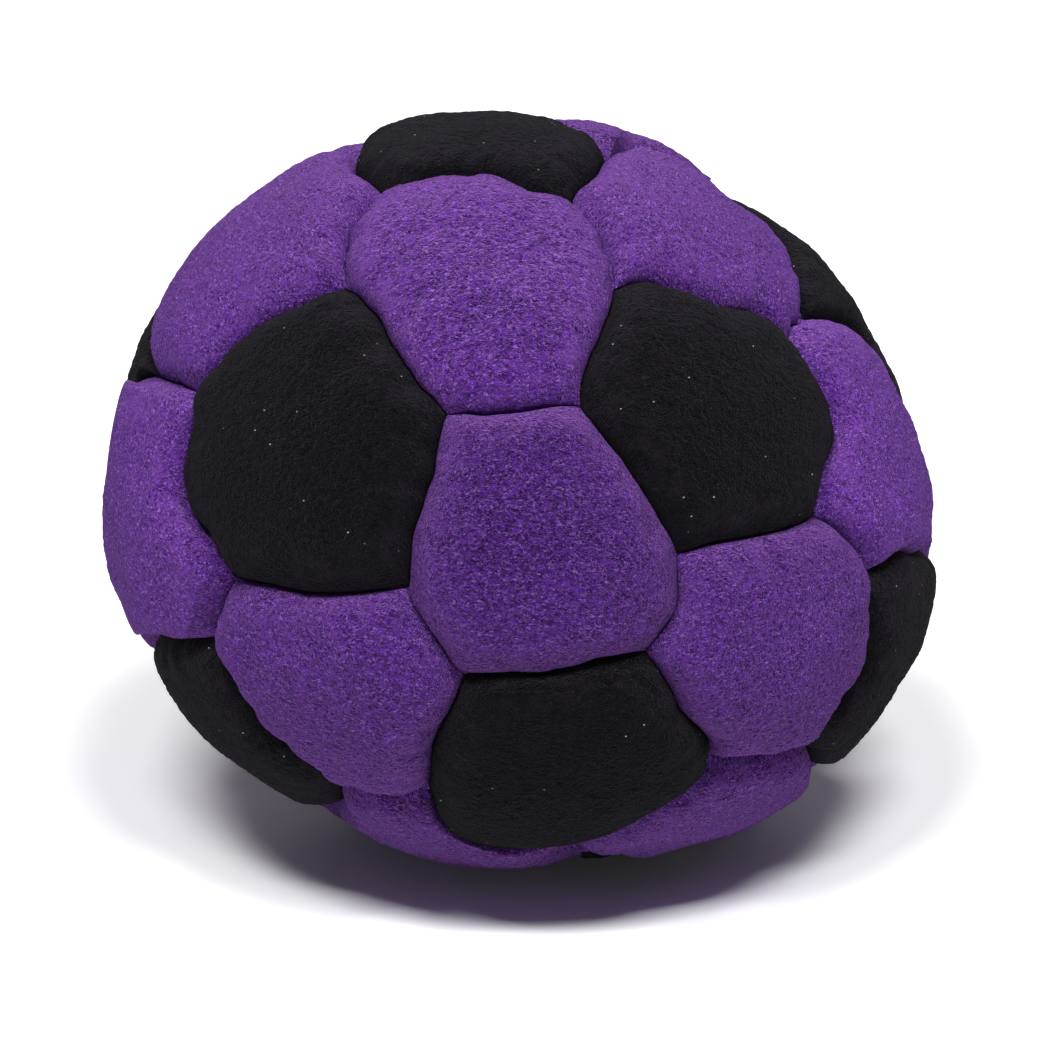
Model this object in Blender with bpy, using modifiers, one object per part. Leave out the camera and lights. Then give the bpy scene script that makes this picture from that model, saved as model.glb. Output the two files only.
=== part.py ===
"""A hand-sewn footbag: 32 suede panels, the thread that joins them and the pellets inside.

The skin is a truncated icosahedron of 12 black pentagons and 20 purple hexagons, drawn onto a
round body that has slumped under its own weight, leans a little to one side and stands on a
pressed-flat foot. Each panel is crowned, rolls over at its edges and turns in along the seams,
where it lies against the turned-in edge of its neighbour. Metres, +Z up, origin on the floor
under the middle of the body.
"""

import math

import bmesh
import bpy
from mathutils import Matrix, Vector

# The body: its width over the crowns, and how far it reaches above and below its widest level
BODY_WIDTH = 0.0540
RISE_ABOVE_WAIST = 0.0271
DROP_BELOW_WAIST = 0.0212

# How far the weight of the pellets presses the lowest crown up
FOOT_PRESS = 0.0010

# How far the slumped body leans towards -X, as a share of the height over its widest level
BODY_LEAN = 0.084

# The suede and how each panel is formed from it
SUEDE_THICKNESS = 0.0008
PANEL_CROWN = 0.0012
SHOULDER_RISE = 0.0007
SHOULDER_INSET = 0.0006
SEAM_ALLOWANCE = 0.0016

# The sewing thread, and how far apart its two strands lie where it goes out and comes back
THREAD_DIAMETER = 0.0004
STRAND_SPACING = 0.0008

# The gap between pieces that lie against each other
CLEARANCE = 0.0003

# How the pattern of panels sits on the body: its turn about the vertical, its lean, and the
# heading it leans to, counted from +X
PATTERN_TURN = math.radians(21.9)
PATTERN_LEAN = math.radians(6.9)
LEAN_HEADING = math.radians(133.0)

# Where along each edge of the icosahedron its corners are cut off, in percent
CORNER_CUT_PERCENT = 38.7

# Pieces along each side of a panel and of the filling under it
PANEL_SIDE_PIECES = 3
FILLING_SIDE_PIECES = 2

# How far the filling falls from a panel's middle to its border, as a share of the seam groove
FILLING_FALL_SHARE = 0.25

# The seam corners that show from the front, as pixels of a square picture of the bag. The
# picture is taken from above the front, and the shares give the body it shows: the width,
# rise and drop of its seams and the distance to it, all in half widths of the body.
PICTURE_CENTRE = (522.2, 528.3)
PICTURE_HALF_WIDTH_PIXELS = 415.9
PICTURE_ELEVATION = math.radians(20.0)
PICTURE_DISTANCE_SHARE = 17.63
PICTURE_SEAM_WIDTH_SHARE = 0.956
PICTURE_SEAM_RISE_SHARE = 0.959
PICTURE_SEAM_DROP_SHARE = 0.741
SEAM_CORNER_PIXELS = (
    (445, 410), (583, 402), (405, 590), (684, 555), (462, 680), (650, 655),
    (340, 280), (383, 187), (190, 390), (150, 373), (226, 580), (208, 642),
    (425, 798), (337, 785), (619, 280), (574, 196), (612, 152), (720, 185),
    (794, 333), (811, 311), (824, 515), (873, 575), (712, 765), (808, 742),
)

# Five more corners, at or just past the outline, by heading and elevation from the body's
# middle. The seams that run to them show where they lie.
OUTLINE_CORNER_DEGREES = ((140, 62.5), (158, 41), (-169, -16), (-84.5, -53.5), (-82, -69))

# The rings of panels from the top down, and the heading from which each ring is numbered,
# counter-clockwise as seen from above
RING_TITLES = ("top", "upper", "lower", "bottom")
RING_COUNTS = {"black": (1, 5, 5, 1), "purple": (5, 5, 5, 5)}
SIDES = {"black": 5, "purple": 6}
FIRST_HEADING = math.radians(-108.0)

# Finishes: linear colour, roughness, metallic
FINISHES = {
    "purple_suede": ((0.105, 0.036, 0.235, 1.0), 0.95, 0.0),
    "black_suede": ((0.012, 0.010, 0.014, 1.0), 0.92, 0.0),
    "black_thread": ((0.010, 0.009, 0.012, 1.0), 0.7, 0.0),
    "pellets": ((0.62, 0.60, 0.55, 1.0), 0.45, 0.0),
}

# Sizes that follow from the ones above
HALF_GAP = CLEARANCE / 2
SEAM_HALF_WIDTH = BODY_WIDTH / 2 - PANEL_CROWN
SEAM_RISE = RISE_ABOVE_WAIST - PANEL_CROWN
SEAM_DROP = DROP_BELOW_WAIST - PANEL_CROWN
WAIST_HEIGHT = DROP_BELOW_WAIST - FOOT_PRESS
THREAD_RADIUS = THREAD_DIAMETER / 2
THREAD_DEPTH = SEAM_ALLOWANCE + CLEARANCE + THREAD_RADIUS
FILLING_GROOVE_DEPTH = THREAD_DEPTH + THREAD_RADIUS + CLEARANCE
FILLING_INSET = HALF_GAP + SUEDE_THICKNESS + 2 * CLEARANCE
FILLING_FLOOR = SUEDE_THICKNESS + CLEARANCE
FILLING_CROWN = PANEL_CROWN - SUEDE_THICKNESS - CLEARANCE
FILLING_BORDER = FILLING_CROWN - FILLING_GROOVE_DEPTH * FILLING_FALL_SHARE
MERGE_DISTANCE = CLEARANCE / 10


def clear_scene():
    """Remove every object, so that the part starts from nothing."""
    for item in list(bpy.data.objects):
        bpy.data.objects.remove(item, do_unlink=True)


def make_assembly(name):
    """Make the collection of the parts and the empty that carries them all."""
    collection = bpy.data.collections.new(name)
    bpy.context.scene.collection.children.link(collection)
    assembly = bpy.data.objects.new(f"{name}_assembly", None)
    collection.objects.link(assembly)
    return assembly


def make_materials():
    """Make one Principled material for each finish."""
    materials = {}
    for name, (colour, roughness, metallic) in FINISHES.items():
        material = bpy.data.materials.new(name)
        material.use_nodes = True
        shader = material.node_tree.nodes["Principled BSDF"]
        shader.inputs["Base Color"].default_value = colour
        shader.inputs["Roughness"].default_value = roughness
        shader.inputs["Metallic"].default_value = metallic
        material.diffuse_color = colour
        materials[name] = material
    return materials


def add_part(name, data, place, material, assembly):
    """Put a mesh or curve into the assembly as one named part with its origin at its place."""
    data.transform(Matrix.Translation(-place))
    data.materials.append(material)
    part = bpy.data.objects.new(name, data)
    part.location = place
    part.parent = assembly
    assembly.users_collection[0].objects.link(part)
    return part


def leaning_body(half_width, reach):
    """The stretch and lean that turn a unit ball into a round body, its middle at the origin."""
    lean = Matrix(((1, 0, -BODY_LEAN), (0, 1, 0), (0, 0, 1)))
    return lean @ Matrix.Diagonal((half_width, half_width, reach))


def seam_body(direction):
    """The half of the seam surface's body that this direction points into."""
    return leaning_body(SEAM_HALF_WIDTH, SEAM_RISE if direction.z > 0 else SEAM_DROP)


def seam_point(direction):
    """The point of the seam surface that lies in this direction from the middle of the body."""
    return seam_body(direction) @ direction.normalized() + Vector((0, 0, WAIST_HEIGHT))


def outward(direction):
    """The seam surface's outward normal in this direction."""
    return (seam_body(direction).inverted().transposed() @ direction).normalized()


def raised(direction, height):
    """A point at this height over the seam surface."""
    return seam_point(direction) + outward(direction) * height


def along(start, end, share):
    """The direction a share of the way from one direction to another."""
    return start.lerp(end, share).normalized()


def pixel_direction(pixel):
    """The direction of the seam surface's point that shows at this pixel of the picture."""
    sine, cosine = math.sin(PICTURE_ELEVATION), math.cos(PICTURE_ELEVATION)
    across = (pixel[0] - PICTURE_CENTRE[0]) / PICTURE_HALF_WIDTH_PIXELS
    up = (PICTURE_CENTRE[1] - pixel[1]) / PICTURE_HALF_WIDTH_PIXELS
    eye = Vector((0, -cosine, sine)) * PICTURE_DISTANCE_SHARE
    sight = Vector((across, up * sine, up * cosine)) - eye
    for reach_share in (PICTURE_SEAM_RISE_SHARE, PICTURE_SEAM_DROP_SHARE):
        to_ball = leaning_body(PICTURE_SEAM_WIDTH_SHARE, reach_share).inverted()
        start = to_ball @ eye
        ray = to_ball @ sight
        nearest = -start.dot(ray) / ray.length_squared
        half_chord = nearest ** 2 - (start.length_squared - 1) / ray.length_squared
        hit = start + ray * (nearest - math.sqrt(max(half_chord, 0)))
        if hit.z > 0:
            break
    return hit.normalized()


def heading_direction(heading, elevation):
    """The direction with this heading from +X and this elevation, both in degrees."""
    heading, elevation = math.radians(heading), math.radians(elevation)
    level = math.cos(elevation)
    return Vector((level * math.cos(heading), level * math.sin(heading), math.sin(elevation)))


def lean_matrix(angle):
    """A lean by this angle towards the heading that the pattern leans to."""
    axis = Vector((-math.sin(LEAN_HEADING), math.cos(LEAN_HEADING), 0))
    return Matrix.Rotation(angle, 3, axis)


def make_pattern():
    """The 32 panels as flat faces of one mesh, each corner a direction from the body's middle."""
    pattern = bmesh.new()
    bmesh.ops.create_icosphere(pattern, subdivisions=1, radius=1.0)
    bmesh.ops.bevel(
        pattern, geom=pattern.verts[:], offset=CORNER_CUT_PERCENT, offset_type="PERCENT",
        segments=1, affect="VERTICES",
    )
    turn = lean_matrix(PATTERN_LEAN) @ Matrix.Rotation(PATTERN_TURN, 3, "Z")
    for corner in pattern.verts:
        corner.co = (turn @ corner.co).normalized()
    known = [pixel_direction(pixel) for pixel in SEAM_CORNER_PIXELS]
    known += [heading_direction(*degrees) for degrees in OUTLINE_CORNER_DEGREES]
    free = list(pattern.verts)
    for place in known:
        nearest = min(free, key=lambda corner: (corner.co - place).length)
        nearest.co = place
        free.remove(nearest)
    bmesh.ops.recalc_face_normals(pattern, faces=pattern.faces[:])
    return pattern


def name_faces(pattern):
    """Each face of the pattern with its colour and the name of its place on the bag."""
    def level(face):
        return (lean_matrix(-PATTERN_LEAN) @ face.calc_center_median().normalized()).z

    def heading(face):
        middle = face.calc_center_median()
        return (math.atan2(middle.y, middle.x) - FIRST_HEADING) % math.tau

    named = []
    for colour, sides in SIDES.items():
        faces = [face for face in pattern.faces if len(face.verts) == sides]
        faces.sort(key=level, reverse=True)
        for title, count in zip(RING_TITLES, RING_COUNTS[colour]):
            ring, faces = sorted(faces[:count], key=heading), faces[count:]
            for number, face in enumerate(ring, start=1):
                place = title if count == 1 else f"{title}_{number}"
                named.append((face, colour, place))
    return named


def border_directions(corners, pieces):
    """Directions round a panel's border, each side cut into equal pieces."""
    border = []
    for number, corner in enumerate(corners):
        following = corners[(number + 1) % len(corners)]
        border += [along(corner, following, step / pieces) for step in range(pieces)]
    return border


def inward_steps(border):
    """At each border direction, the sideways step that moves both of its edges in by one."""
    points = [seam_point(direction) for direction in border]
    steps = []
    for number, direction in enumerate(border):
        normal = outward(direction)
        following = points[(number + 1) % len(points)]
        first = normal.cross(points[number] - points[number - 1]).normalized()
        second = normal.cross(following - points[number]).normalized()
        steps.append((first + second) / (1 + first.dot(second)))
    return steps


def border_rows(corners, pieces, rows):
    """Rows of points round a panel, each at its own inset from the seam and height over it."""
    border = border_directions(corners, pieces)
    steps = inward_steps(border)
    return [
        [raised(direction, height) + step * inset for direction, step in zip(border, steps)]
        for inset, height in rows
    ]


def fan_sheet(corners, pieces):
    """A panel's face fanned out from its middle and divided evenly, with the share of the way
    from the middle to the border kept at each vertex."""
    sheet = bmesh.new()
    rim = sheet.verts.layers.float.new("rim")
    face = sheet.faces.new([sheet.verts.new(corner) for corner in corners])
    for vertex in sheet.verts:
        vertex[rim] = 1.0
    fan = bmesh.ops.poke(sheet, faces=[face])
    fan["verts"][0][rim] = 0.0
    bmesh.ops.subdivide_edges(sheet, edges=sheet.edges[:], cuts=pieces - 1, use_grid_fill=True)
    return sheet, rim


def border_vertices(sheet, corners, pieces):
    """The sheet's border vertices in the order of the panel's border directions."""
    outer = [vertex for vertex in sheet.verts if vertex.is_boundary]
    ordered = []
    for number, corner in enumerate(corners):
        following = corners[(number + 1) % len(corners)]
        for step in range(pieces):
            spot = corner.lerp(following, step / pieces)
            ordered.append(min(outer, key=lambda vertex: (vertex.co - spot).length))
    return ordered


def extruded_from(vertex, made):
    """The vertex that an extrusion made from this one."""
    return next(edge.other_vert(vertex) for edge in vertex.link_edges if edge.other_vert(vertex) in made)


def carry_border(sheet, border, rows):
    """Set the sheet's border on the first row of points and extrude it on through the others."""
    for vertex, point in zip(border, rows[0]):
        vertex.co = point
    for row in rows[1:]:
        edges = [edge for edge in sheet.edges if edge.is_boundary]
        made = set(bmesh.ops.extrude_edge_only(sheet, edges=edges)["geom"])
        border = [extruded_from(vertex, made) for vertex in border]
        for vertex, point in zip(border, row):
            vertex.co = point


def crowned_sheet(corners, pieces, crown, border_height, drawn_in_share, rows, floor):
    """A sheet that falls from its crown to its border, then runs on through the border's rows,
    pressed up where it would pass the floor."""
    sheet, rim = fan_sheet(corners, pieces)
    border = border_vertices(sheet, corners, pieces)
    middle = sum(corners, Vector()) / len(corners)
    for vertex in set(sheet.verts) - set(border):
        height = crown + (border_height - crown) * vertex[rim] ** 2
        vertex.co = raised(vertex.co.lerp(middle, drawn_in_share), height)
    carry_border(sheet, border, border_rows(corners, pieces, rows))
    for vertex in sheet.verts:
        vertex.co.z = max(vertex.co.z, floor)
    bmesh.ops.recalc_face_normals(sheet, faces=sheet.faces[:])
    return sheet


def sheet_to_mesh(name, sheet):
    """Turn a finished sheet into a smooth mesh."""
    mesh = bpy.data.meshes.new(name)
    sheet.to_mesh(mesh)
    sheet.free()
    mesh.shade_smooth()
    return mesh


def make_panel(name, corners, material, assembly):
    """One panel: a crowned sheet that rolls over its shoulder and turns in along the seams."""
    middle = sum(corners, Vector()) / len(corners)
    shoulder_share = SHOULDER_INSET / (seam_point(corners[0]) - seam_point(middle)).length
    rows = (
        (HALF_GAP + SHOULDER_INSET, SHOULDER_RISE),
        (HALF_GAP, 0),
        (HALF_GAP, -SEAM_ALLOWANCE),
    )
    sheet = crowned_sheet(
        corners, PANEL_SIDE_PIECES, PANEL_CROWN, SHOULDER_RISE, shoulder_share, rows, floor=0,
    )
    panel = add_part(name, sheet_to_mesh(name, sheet), seam_point(middle), material, assembly)
    wall = panel.modifiers.new("suede_thickness", "SOLIDIFY")
    wall.thickness = SUEDE_THICKNESS
    wall.offset = -1.0
    wall.use_even_offset = True


def arm_points(near, far):
    """Out along one side of a purple seam to its middle, across, and back along the other."""
    start = raised(near, -THREAD_DEPTH)
    end = raised(along(near, far, 0.5), -THREAD_DEPTH)
    ahead = (end - start).normalized()
    aside = ahead.cross(outward(near)).normalized() * STRAND_SPACING / 2
    root = start + ahead * STRAND_SPACING / 2
    tip = end - ahead * (THREAD_RADIUS + HALF_GAP)
    return [root - aside, tip - aside, tip + aside, root + aside]


def thread_route(face):
    """The route of one length of thread: round a black panel's seams and, at each corner, out
    to the middle of the purple seam that starts there and back beside itself."""
    corners = [loop.vert for loop in face.loops]
    route = []
    for number, corner in enumerate(corners):
        following = corners[(number + 1) % len(corners)]
        purple_seam = next(edge for edge in corner.link_edges if face not in edge.link_faces)
        route += arm_points(corner.co, purple_seam.other_vert(corner).co)
        for step in range(1, PANEL_SIDE_PIECES):
            direction = along(corner.co, following.co, step / PANEL_SIDE_PIECES)
            route.append(raised(direction, -THREAD_DEPTH))
    return route


def make_thread(name, face, material, assembly):
    """One closed length of thread, its ends knotted together, as a round tube."""
    curve = bpy.data.curves.new(name, "CURVE")
    curve.dimensions = "3D"
    curve.bevel_depth = THREAD_RADIUS
    curve.bevel_resolution = 0
    route = thread_route(face)
    spline = curve.splines.new("POLY")
    spline.points.add(len(route) - 1)
    for point, place in zip(spline.points, route):
        point.co = (*place, 1.0)
    spline.use_cyclic_u = True
    add_part(name, curve, seam_point(face.calc_center_median()), material, assembly)


def make_filling(name, pattern, material, assembly):
    """The pellets as one mass that swells into every panel and is drawn in under every seam."""
    filling = bmesh.new()
    rows = (
        (FILLING_INSET, FILLING_BORDER),
        (FILLING_INSET, -FILLING_GROOVE_DEPTH),
        (0, -FILLING_GROOVE_DEPTH),
    )
    for face in pattern.faces:
        corners = [vertex.co.copy() for vertex in face.verts]
        sheet = crowned_sheet(
            corners, FILLING_SIDE_PIECES, FILLING_CROWN, FILLING_BORDER, 0, rows, FILLING_FLOOR,
        )
        patch = sheet_to_mesh(name, sheet)
        filling.from_mesh(patch)
        bpy.data.meshes.remove(patch)
    bmesh.ops.remove_doubles(filling, verts=filling.verts[:], dist=MERGE_DISTANCE)
    bmesh.ops.recalc_face_normals(filling, faces=filling.faces[:])
    add_part(name, sheet_to_mesh(name, filling), Vector((0, 0, WAIST_HEIGHT)), material, assembly)


def build_footbag():
    """Build every piece of the footbag."""
    clear_scene()
    assembly = make_assembly("footbag")
    materials = make_materials()
    pattern = make_pattern()
    for face, colour, place in name_faces(pattern):
        corners = [vertex.co.copy() for vertex in face.verts]
        make_panel(f"{colour}_panel_{place}", corners, materials[f"{colour}_suede"], assembly)
        if colour == "black":
            make_thread(f"thread_{place}", face, materials["black_thread"], assembly)
    make_filling("pellet_filling", pattern, materials["pellets"], assembly)
    pattern.free()


build_footbag()
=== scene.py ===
# %% [markdown]
# # A hand-sewn suede footbag
#
# The bag is a skin of 32 soft suede panels: 12 black pentagons and 20 purple hexagons. It was
# sewn inside out, turned, filled with plastic pellets and stitched shut, and now it lies on a
# white surface, slumped a little under its own weight.
#
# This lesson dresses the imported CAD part. The CAD says where each panel, thread and the filling
# lie. Here every one of them gets its soft form and its finish: panels that puff up between
# their stitches, suede with a nap, twisted thread and a heap of pellets.

import math

import bmesh
import bpy
import numpy as np
from mathutils import Matrix, Vector


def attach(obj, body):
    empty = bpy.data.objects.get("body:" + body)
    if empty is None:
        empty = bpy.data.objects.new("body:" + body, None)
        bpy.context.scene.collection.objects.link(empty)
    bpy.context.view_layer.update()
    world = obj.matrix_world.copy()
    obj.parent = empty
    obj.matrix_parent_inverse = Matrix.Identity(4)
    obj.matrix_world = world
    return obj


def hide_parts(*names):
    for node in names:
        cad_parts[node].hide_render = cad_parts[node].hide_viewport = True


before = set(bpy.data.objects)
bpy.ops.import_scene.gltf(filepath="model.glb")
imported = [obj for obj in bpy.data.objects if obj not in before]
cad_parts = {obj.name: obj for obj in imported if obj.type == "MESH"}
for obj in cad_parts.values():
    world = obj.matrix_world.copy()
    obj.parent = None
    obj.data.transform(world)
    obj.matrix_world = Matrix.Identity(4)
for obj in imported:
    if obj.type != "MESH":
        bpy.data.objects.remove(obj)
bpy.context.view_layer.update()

# %% [markdown]
# ## The camera and the light
#
# The picture was taken with a long lens from 20 degrees above the surface, so the bag fills
# four fifths of the frame and shows almost no perspective. The camera comes first, because
# every later choice is judged through it. Its aim is the middle of the body at its widest
# level. The bag sits a few pixels off the middle of the picture, which a small lens shift gives.

# %% The camera
PICTURE_SIDE = 1048
PICTURE_CENTRE = (522.2, 528.3)
PICTURE_HALF_WIDTH_PIXELS = 415.9
PICTURE_ELEVATION = math.radians(20.0)
PICTURE_DISTANCE_SHARE = 17.63
SENSOR_WIDTH = 36.0
BODY_WIDTH = 0.0540
WAIST_HEIGHT = 0.0202


def place_camera():
    """A camera on a line that rises by the picture's elevation from the front. Its lens length
    is the sensor's width times the body's width in the picture times its distance in widths."""
    distance = PICTURE_DISTANCE_SHARE * BODY_WIDTH / 2
    data = bpy.data.cameras.new("camera")
    data.sensor_width = SENSOR_WIDTH
    data.lens = SENSOR_WIDTH * PICTURE_DISTANCE_SHARE * PICTURE_HALF_WIDTH_PIXELS / PICTURE_SIDE
    data.shift_x = (PICTURE_SIDE / 2 - PICTURE_CENTRE[0]) / PICTURE_SIDE
    data.shift_y = (PICTURE_CENTRE[1] - PICTURE_SIDE / 2) / PICTURE_SIDE
    data.clip_start, data.clip_end = 0.01, 20.0
    camera = bpy.data.objects.new("camera", data)
    bpy.context.scene.collection.objects.link(camera)
    camera.location = (
        0.0,
        -distance * math.cos(PICTURE_ELEVATION),
        WAIST_HEIGHT + distance * math.sin(PICTURE_ELEVATION),
    )
    camera.rotation_euler = (math.pi / 2 - PICTURE_ELEVATION, 0.0, 0.0)
    bpy.context.scene.camera = camera
    return camera


camera = place_camera()
print("lens", round(camera.data.lens, 1), "mm at", round(camera.location.length, 3), "m")

# %% [markdown]
# The floor, the surroundings and all the finishes are made of shader nodes. A node is easy to
# add and slow to wire up by hand, so a few short functions do it: each adds one node, gives it
# its inputs, whether values or links, and hands back the output that is used next.

# %% Short functions for shader nodes
WHITE = (1.0, 1.0, 1.0, 1.0)


def give(tree, node, inputs):
    """Give each input of a node, by its name or number, a value or a link."""
    for name, value in inputs.items():
        if isinstance(value, bpy.types.NodeSocket):
            tree.links.new(value, node.inputs[name])
        else:
            node.inputs[name].default_value = value


def add_node(tree, kind, inputs=None, **settings):
    """A shader node with its settings and its inputs."""
    made = tree.nodes.new("ShaderNode" + kind)
    for name, value in settings.items():
        setattr(made, name, value)
    give(tree, made, inputs or {})
    return made


def calculate(tree, operation, first, second):
    """The result of one sum on two numbers or sockets."""
    return add_node(tree, "Math", {0: first, 1: second}, operation=operation).outputs[0]


def spread(tree, value, low, high):
    """A value from 0 to 1 spread out between low and high."""
    return add_node(tree, "MapRange", {"Value": value, "To Min": low, "To Max": high}).outputs[
        "Result"]


def stretched(tree, value, low, high, clamp=True):
    """A value stretched so that low becomes 0 and high becomes 1."""
    return add_node(
        tree, "MapRange", {"Value": value, "From Min": low, "From Max": high}, clamp=clamp
    ).outputs["Result"]


def mixed(tree, share, first, second):
    """A colour between two colours."""
    return add_node(tree, "Mix", {0: share, 6: first, 7: second}, data_type="RGBA").outputs[2]


def noise(tree, place, size, detail=2.0, roughness=0.6, distortion=0.0):
    """Noise whose patches are about this size in metres."""
    return add_node(
        tree, "TexNoise",
        {"Vector": place, "Scale": 1 / size, "Detail": detail, "Roughness": roughness,
         "Distortion": distortion},
    ).outputs["Fac"]


def attribute(tree, name, output="Fac"):
    """What a mesh keeps under this name for each of its points."""
    return add_node(tree, "Attribute", attribute_name=name).outputs[output]


def new_material(name):
    """A material with its node tree and its shader."""
    material = bpy.data.materials.new(name)
    material.use_nodes = True
    return material, material.node_tree, material.node_tree.nodes["Principled BSDF"]


print("a node adds itself, takes its inputs and gives its output")

# %% [markdown]
# The surface is plain white paper under two soft lamps, one to each side and a little in front.
# White paper in a studio picture is exposed until it is pure white, but a soft shadow stays
# where the bag stands on it. The same is done here without any extra light on the bag: the
# paper is brighter to camera rays than to the light that bounces on, and it gives a trace of
# light of its own to camera and mirror rays.

# %% Floor, lamps and surroundings
FLOOR_SIZE = 6.0
FLOOR_ALBEDO = 0.90
FLOOR_SEEN_ALBEDO = 1.32
FLOOR_GLOSS = 0.08
FLOOR_ROUGHNESS = 0.35
FLOOR_SELF_LIGHT = 0.01
SURROUND_LIGHT = 0.05
LAMPS = {
    # name: (place, width, depth, power, colour)
    "softbox_left": ((-0.47, -0.82, 1.76), 0.70, 0.36, 26.0, (0.98, 0.98, 1.0)),
    "softbox_right": ((0.40, -0.82, 1.76), 0.70, 0.36, 26.0, (0.98, 0.98, 1.0)),
}


def seen_by_camera_or_mirror(tree):
    """The share of rays that come from the camera or from a glossy or transmission bounce."""
    path = add_node(tree, "LightPath").outputs
    either = calculate(tree, "MAXIMUM", path["Is Camera Ray"], path["Is Glossy Ray"])
    return calculate(tree, "MAXIMUM", either, path["Is Transmission Ray"])


def make_surroundings():
    """A world that lights softly from all sides and shows white to the camera."""
    world = bpy.data.worlds.new("studio")
    bpy.context.scene.world = world
    world.use_nodes = True
    tree = world.node_tree
    strength = spread(tree, seen_by_camera_or_mirror(tree), SURROUND_LIGHT, 1.0)
    give(tree, tree.nodes["Background"], {"Color": WHITE, "Strength": strength})


def make_floor():
    """A wide flat sheet of white paper at the height on which the bag rests."""
    half = FLOOR_SIZE / 2
    mesh = bpy.data.meshes.new("floor")
    mesh.from_pydata(
        [(-half, -half, 0), (half, -half, 0), (half, half, 0), (-half, half, 0)], [], [(0, 1, 2, 3)]
    )
    floor = bpy.data.objects.new("floor", mesh)
    bpy.context.scene.collection.objects.link(floor)
    material, tree, shader = new_material("white_paper")
    seen = add_node(tree, "LightPath").outputs["Is Camera Ray"]
    give(tree, shader, {
        "Base Color": spread(tree, seen, FLOOR_ALBEDO, FLOOR_SEEN_ALBEDO),
        "Roughness": FLOOR_ROUGHNESS,
        "Specular IOR Level": FLOOR_GLOSS,
        "Emission Color": WHITE,
        "Emission Strength": calculate(
            tree, "MULTIPLY", seen_by_camera_or_mirror(tree), FLOOR_SELF_LIGHT),
    })
    mesh.materials.append(material)


def make_lamps():
    """Oblong soft lamps that face the bag."""
    for name, (place, width, depth, power, colour) in LAMPS.items():
        data = bpy.data.lights.new(name, "AREA")
        data.shape = "RECTANGLE"
        data.size, data.size_y, data.energy, data.color = width, depth, power, colour
        lamp = bpy.data.objects.new(name, data)
        lamp.location = place
        to_bag = Vector((0, 0, WAIST_HEIGHT)) - lamp.location
        lamp.rotation_euler = to_bag.to_track_quat("-Z", "Y").to_euler()
        bpy.context.scene.collection.objects.link(lamp)


bpy.context.scene.view_settings.view_transform = "Standard"
make_surroundings()
make_floor()
make_lamps()
print("lamps:", ", ".join(LAMPS))

# %% [markdown]
# ## The body
#
# A bag of pellets slumps into a round cushion: it reaches further up from its widest level than
# down, and its lowest crown is pressed flat. Two half ellipsoids that meet at the widest level
# describe the surface on which all the seams lie. A direction from the middle of the body picks
# a point of it, and the ellipsoid's own outward normal says which way a panel puffs up. The
# same values and formulas made the CAD, so the two fit without any measuring.

# %% The seam surface
RISE_ABOVE_WAIST = 0.0271
DROP_BELOW_WAIST = 0.0212
BODY_LEAN = 0.084
PANEL_CROWN = 0.0012
SEAM_HALF_WIDTH = BODY_WIDTH / 2 - PANEL_CROWN
SEAM_RISE = RISE_ABOVE_WAIST - PANEL_CROWN
SEAM_DROP = DROP_BELOW_WAIST - PANEL_CROWN


def unit(vectors):
    """Each vector divided by its own length."""
    return vectors / np.linalg.norm(vectors, axis=-1, keepdims=True)


def leaned(points, lean):
    """Points moved along -x by their height times the lean."""
    return points - np.concatenate([points[..., 2:] * lean, np.zeros_like(points[..., :2])], -1)


def body_reach(directions):
    """How far the seam surface reaches along x, y and z: its half width sideways, and its rise
    or its drop, whichever side of the waist the direction points to."""
    upright = np.where(directions[..., 2:] > 0, SEAM_RISE, SEAM_DROP)
    return np.concatenate([np.full_like(directions[..., :2], SEAM_HALF_WIDTH), upright], axis=-1)


def outward(directions):
    """The seam surface's outward normal: each part of the direction over its reach, tipped up
    by the lean's share of its x part."""
    normals = directions / body_reach(directions)
    normals[..., 2] += BODY_LEAN * normals[..., 0]
    return unit(normals)


def raised(directions, heights):
    """Points at these heights over the seam surface, straight out from it: unit direction times
    reach, leaned, plus the waist's height, plus the normal times the height."""
    points = leaned(unit(directions) * body_reach(directions), BODY_LEAN)
    normals = outward(directions)
    return points + (0.0, 0.0, WAIST_HEIGHT) + normals * np.asarray(heights)[..., None]


print("body over the crowns:", BODY_WIDTH, "m wide,", WAIST_HEIGHT + RISE_ABOVE_WAIST, "m high")

# %% [markdown]
# ## The pattern of panels
#
# Twelve pentagons and twenty hexagons are what is left of an icosahedron when its corners are
# cut off. The pattern leans and turns as the bag happens to lie, and the seam corners that show
# from the front are nudged to where the picture has them, because no hand-sewn bag is regular.

# %% Where the seam corners lie
PATTERN_TURN = math.radians(21.9)
PATTERN_LEAN = math.radians(6.9)
LEAN_HEADING = math.radians(133.0)
CORNER_CUT_PERCENT = 38.7
PICTURE_SEAM_WIDTH_SHARE = 0.956
PICTURE_SEAM_RISE_SHARE = 0.959
PICTURE_SEAM_DROP_SHARE = 0.741
SEAM_CORNER_PIXELS = np.array([
    (445, 410), (583, 402), (405, 590), (684, 555), (462, 680), (650, 655),
    (340, 280), (383, 187), (190, 390), (150, 373), (226, 580), (208, 642),
    (425, 798), (337, 785), (619, 280), (574, 196), (612, 152), (720, 185),
    (794, 333), (811, 311), (824, 515), (873, 575), (712, 765), (808, 742),
], float)
OUTLINE_CORNER_DEGREES = ((140, 62.5), (158, 41), (-169, -16), (-84.5, -53.5), (-82, -69))


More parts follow.
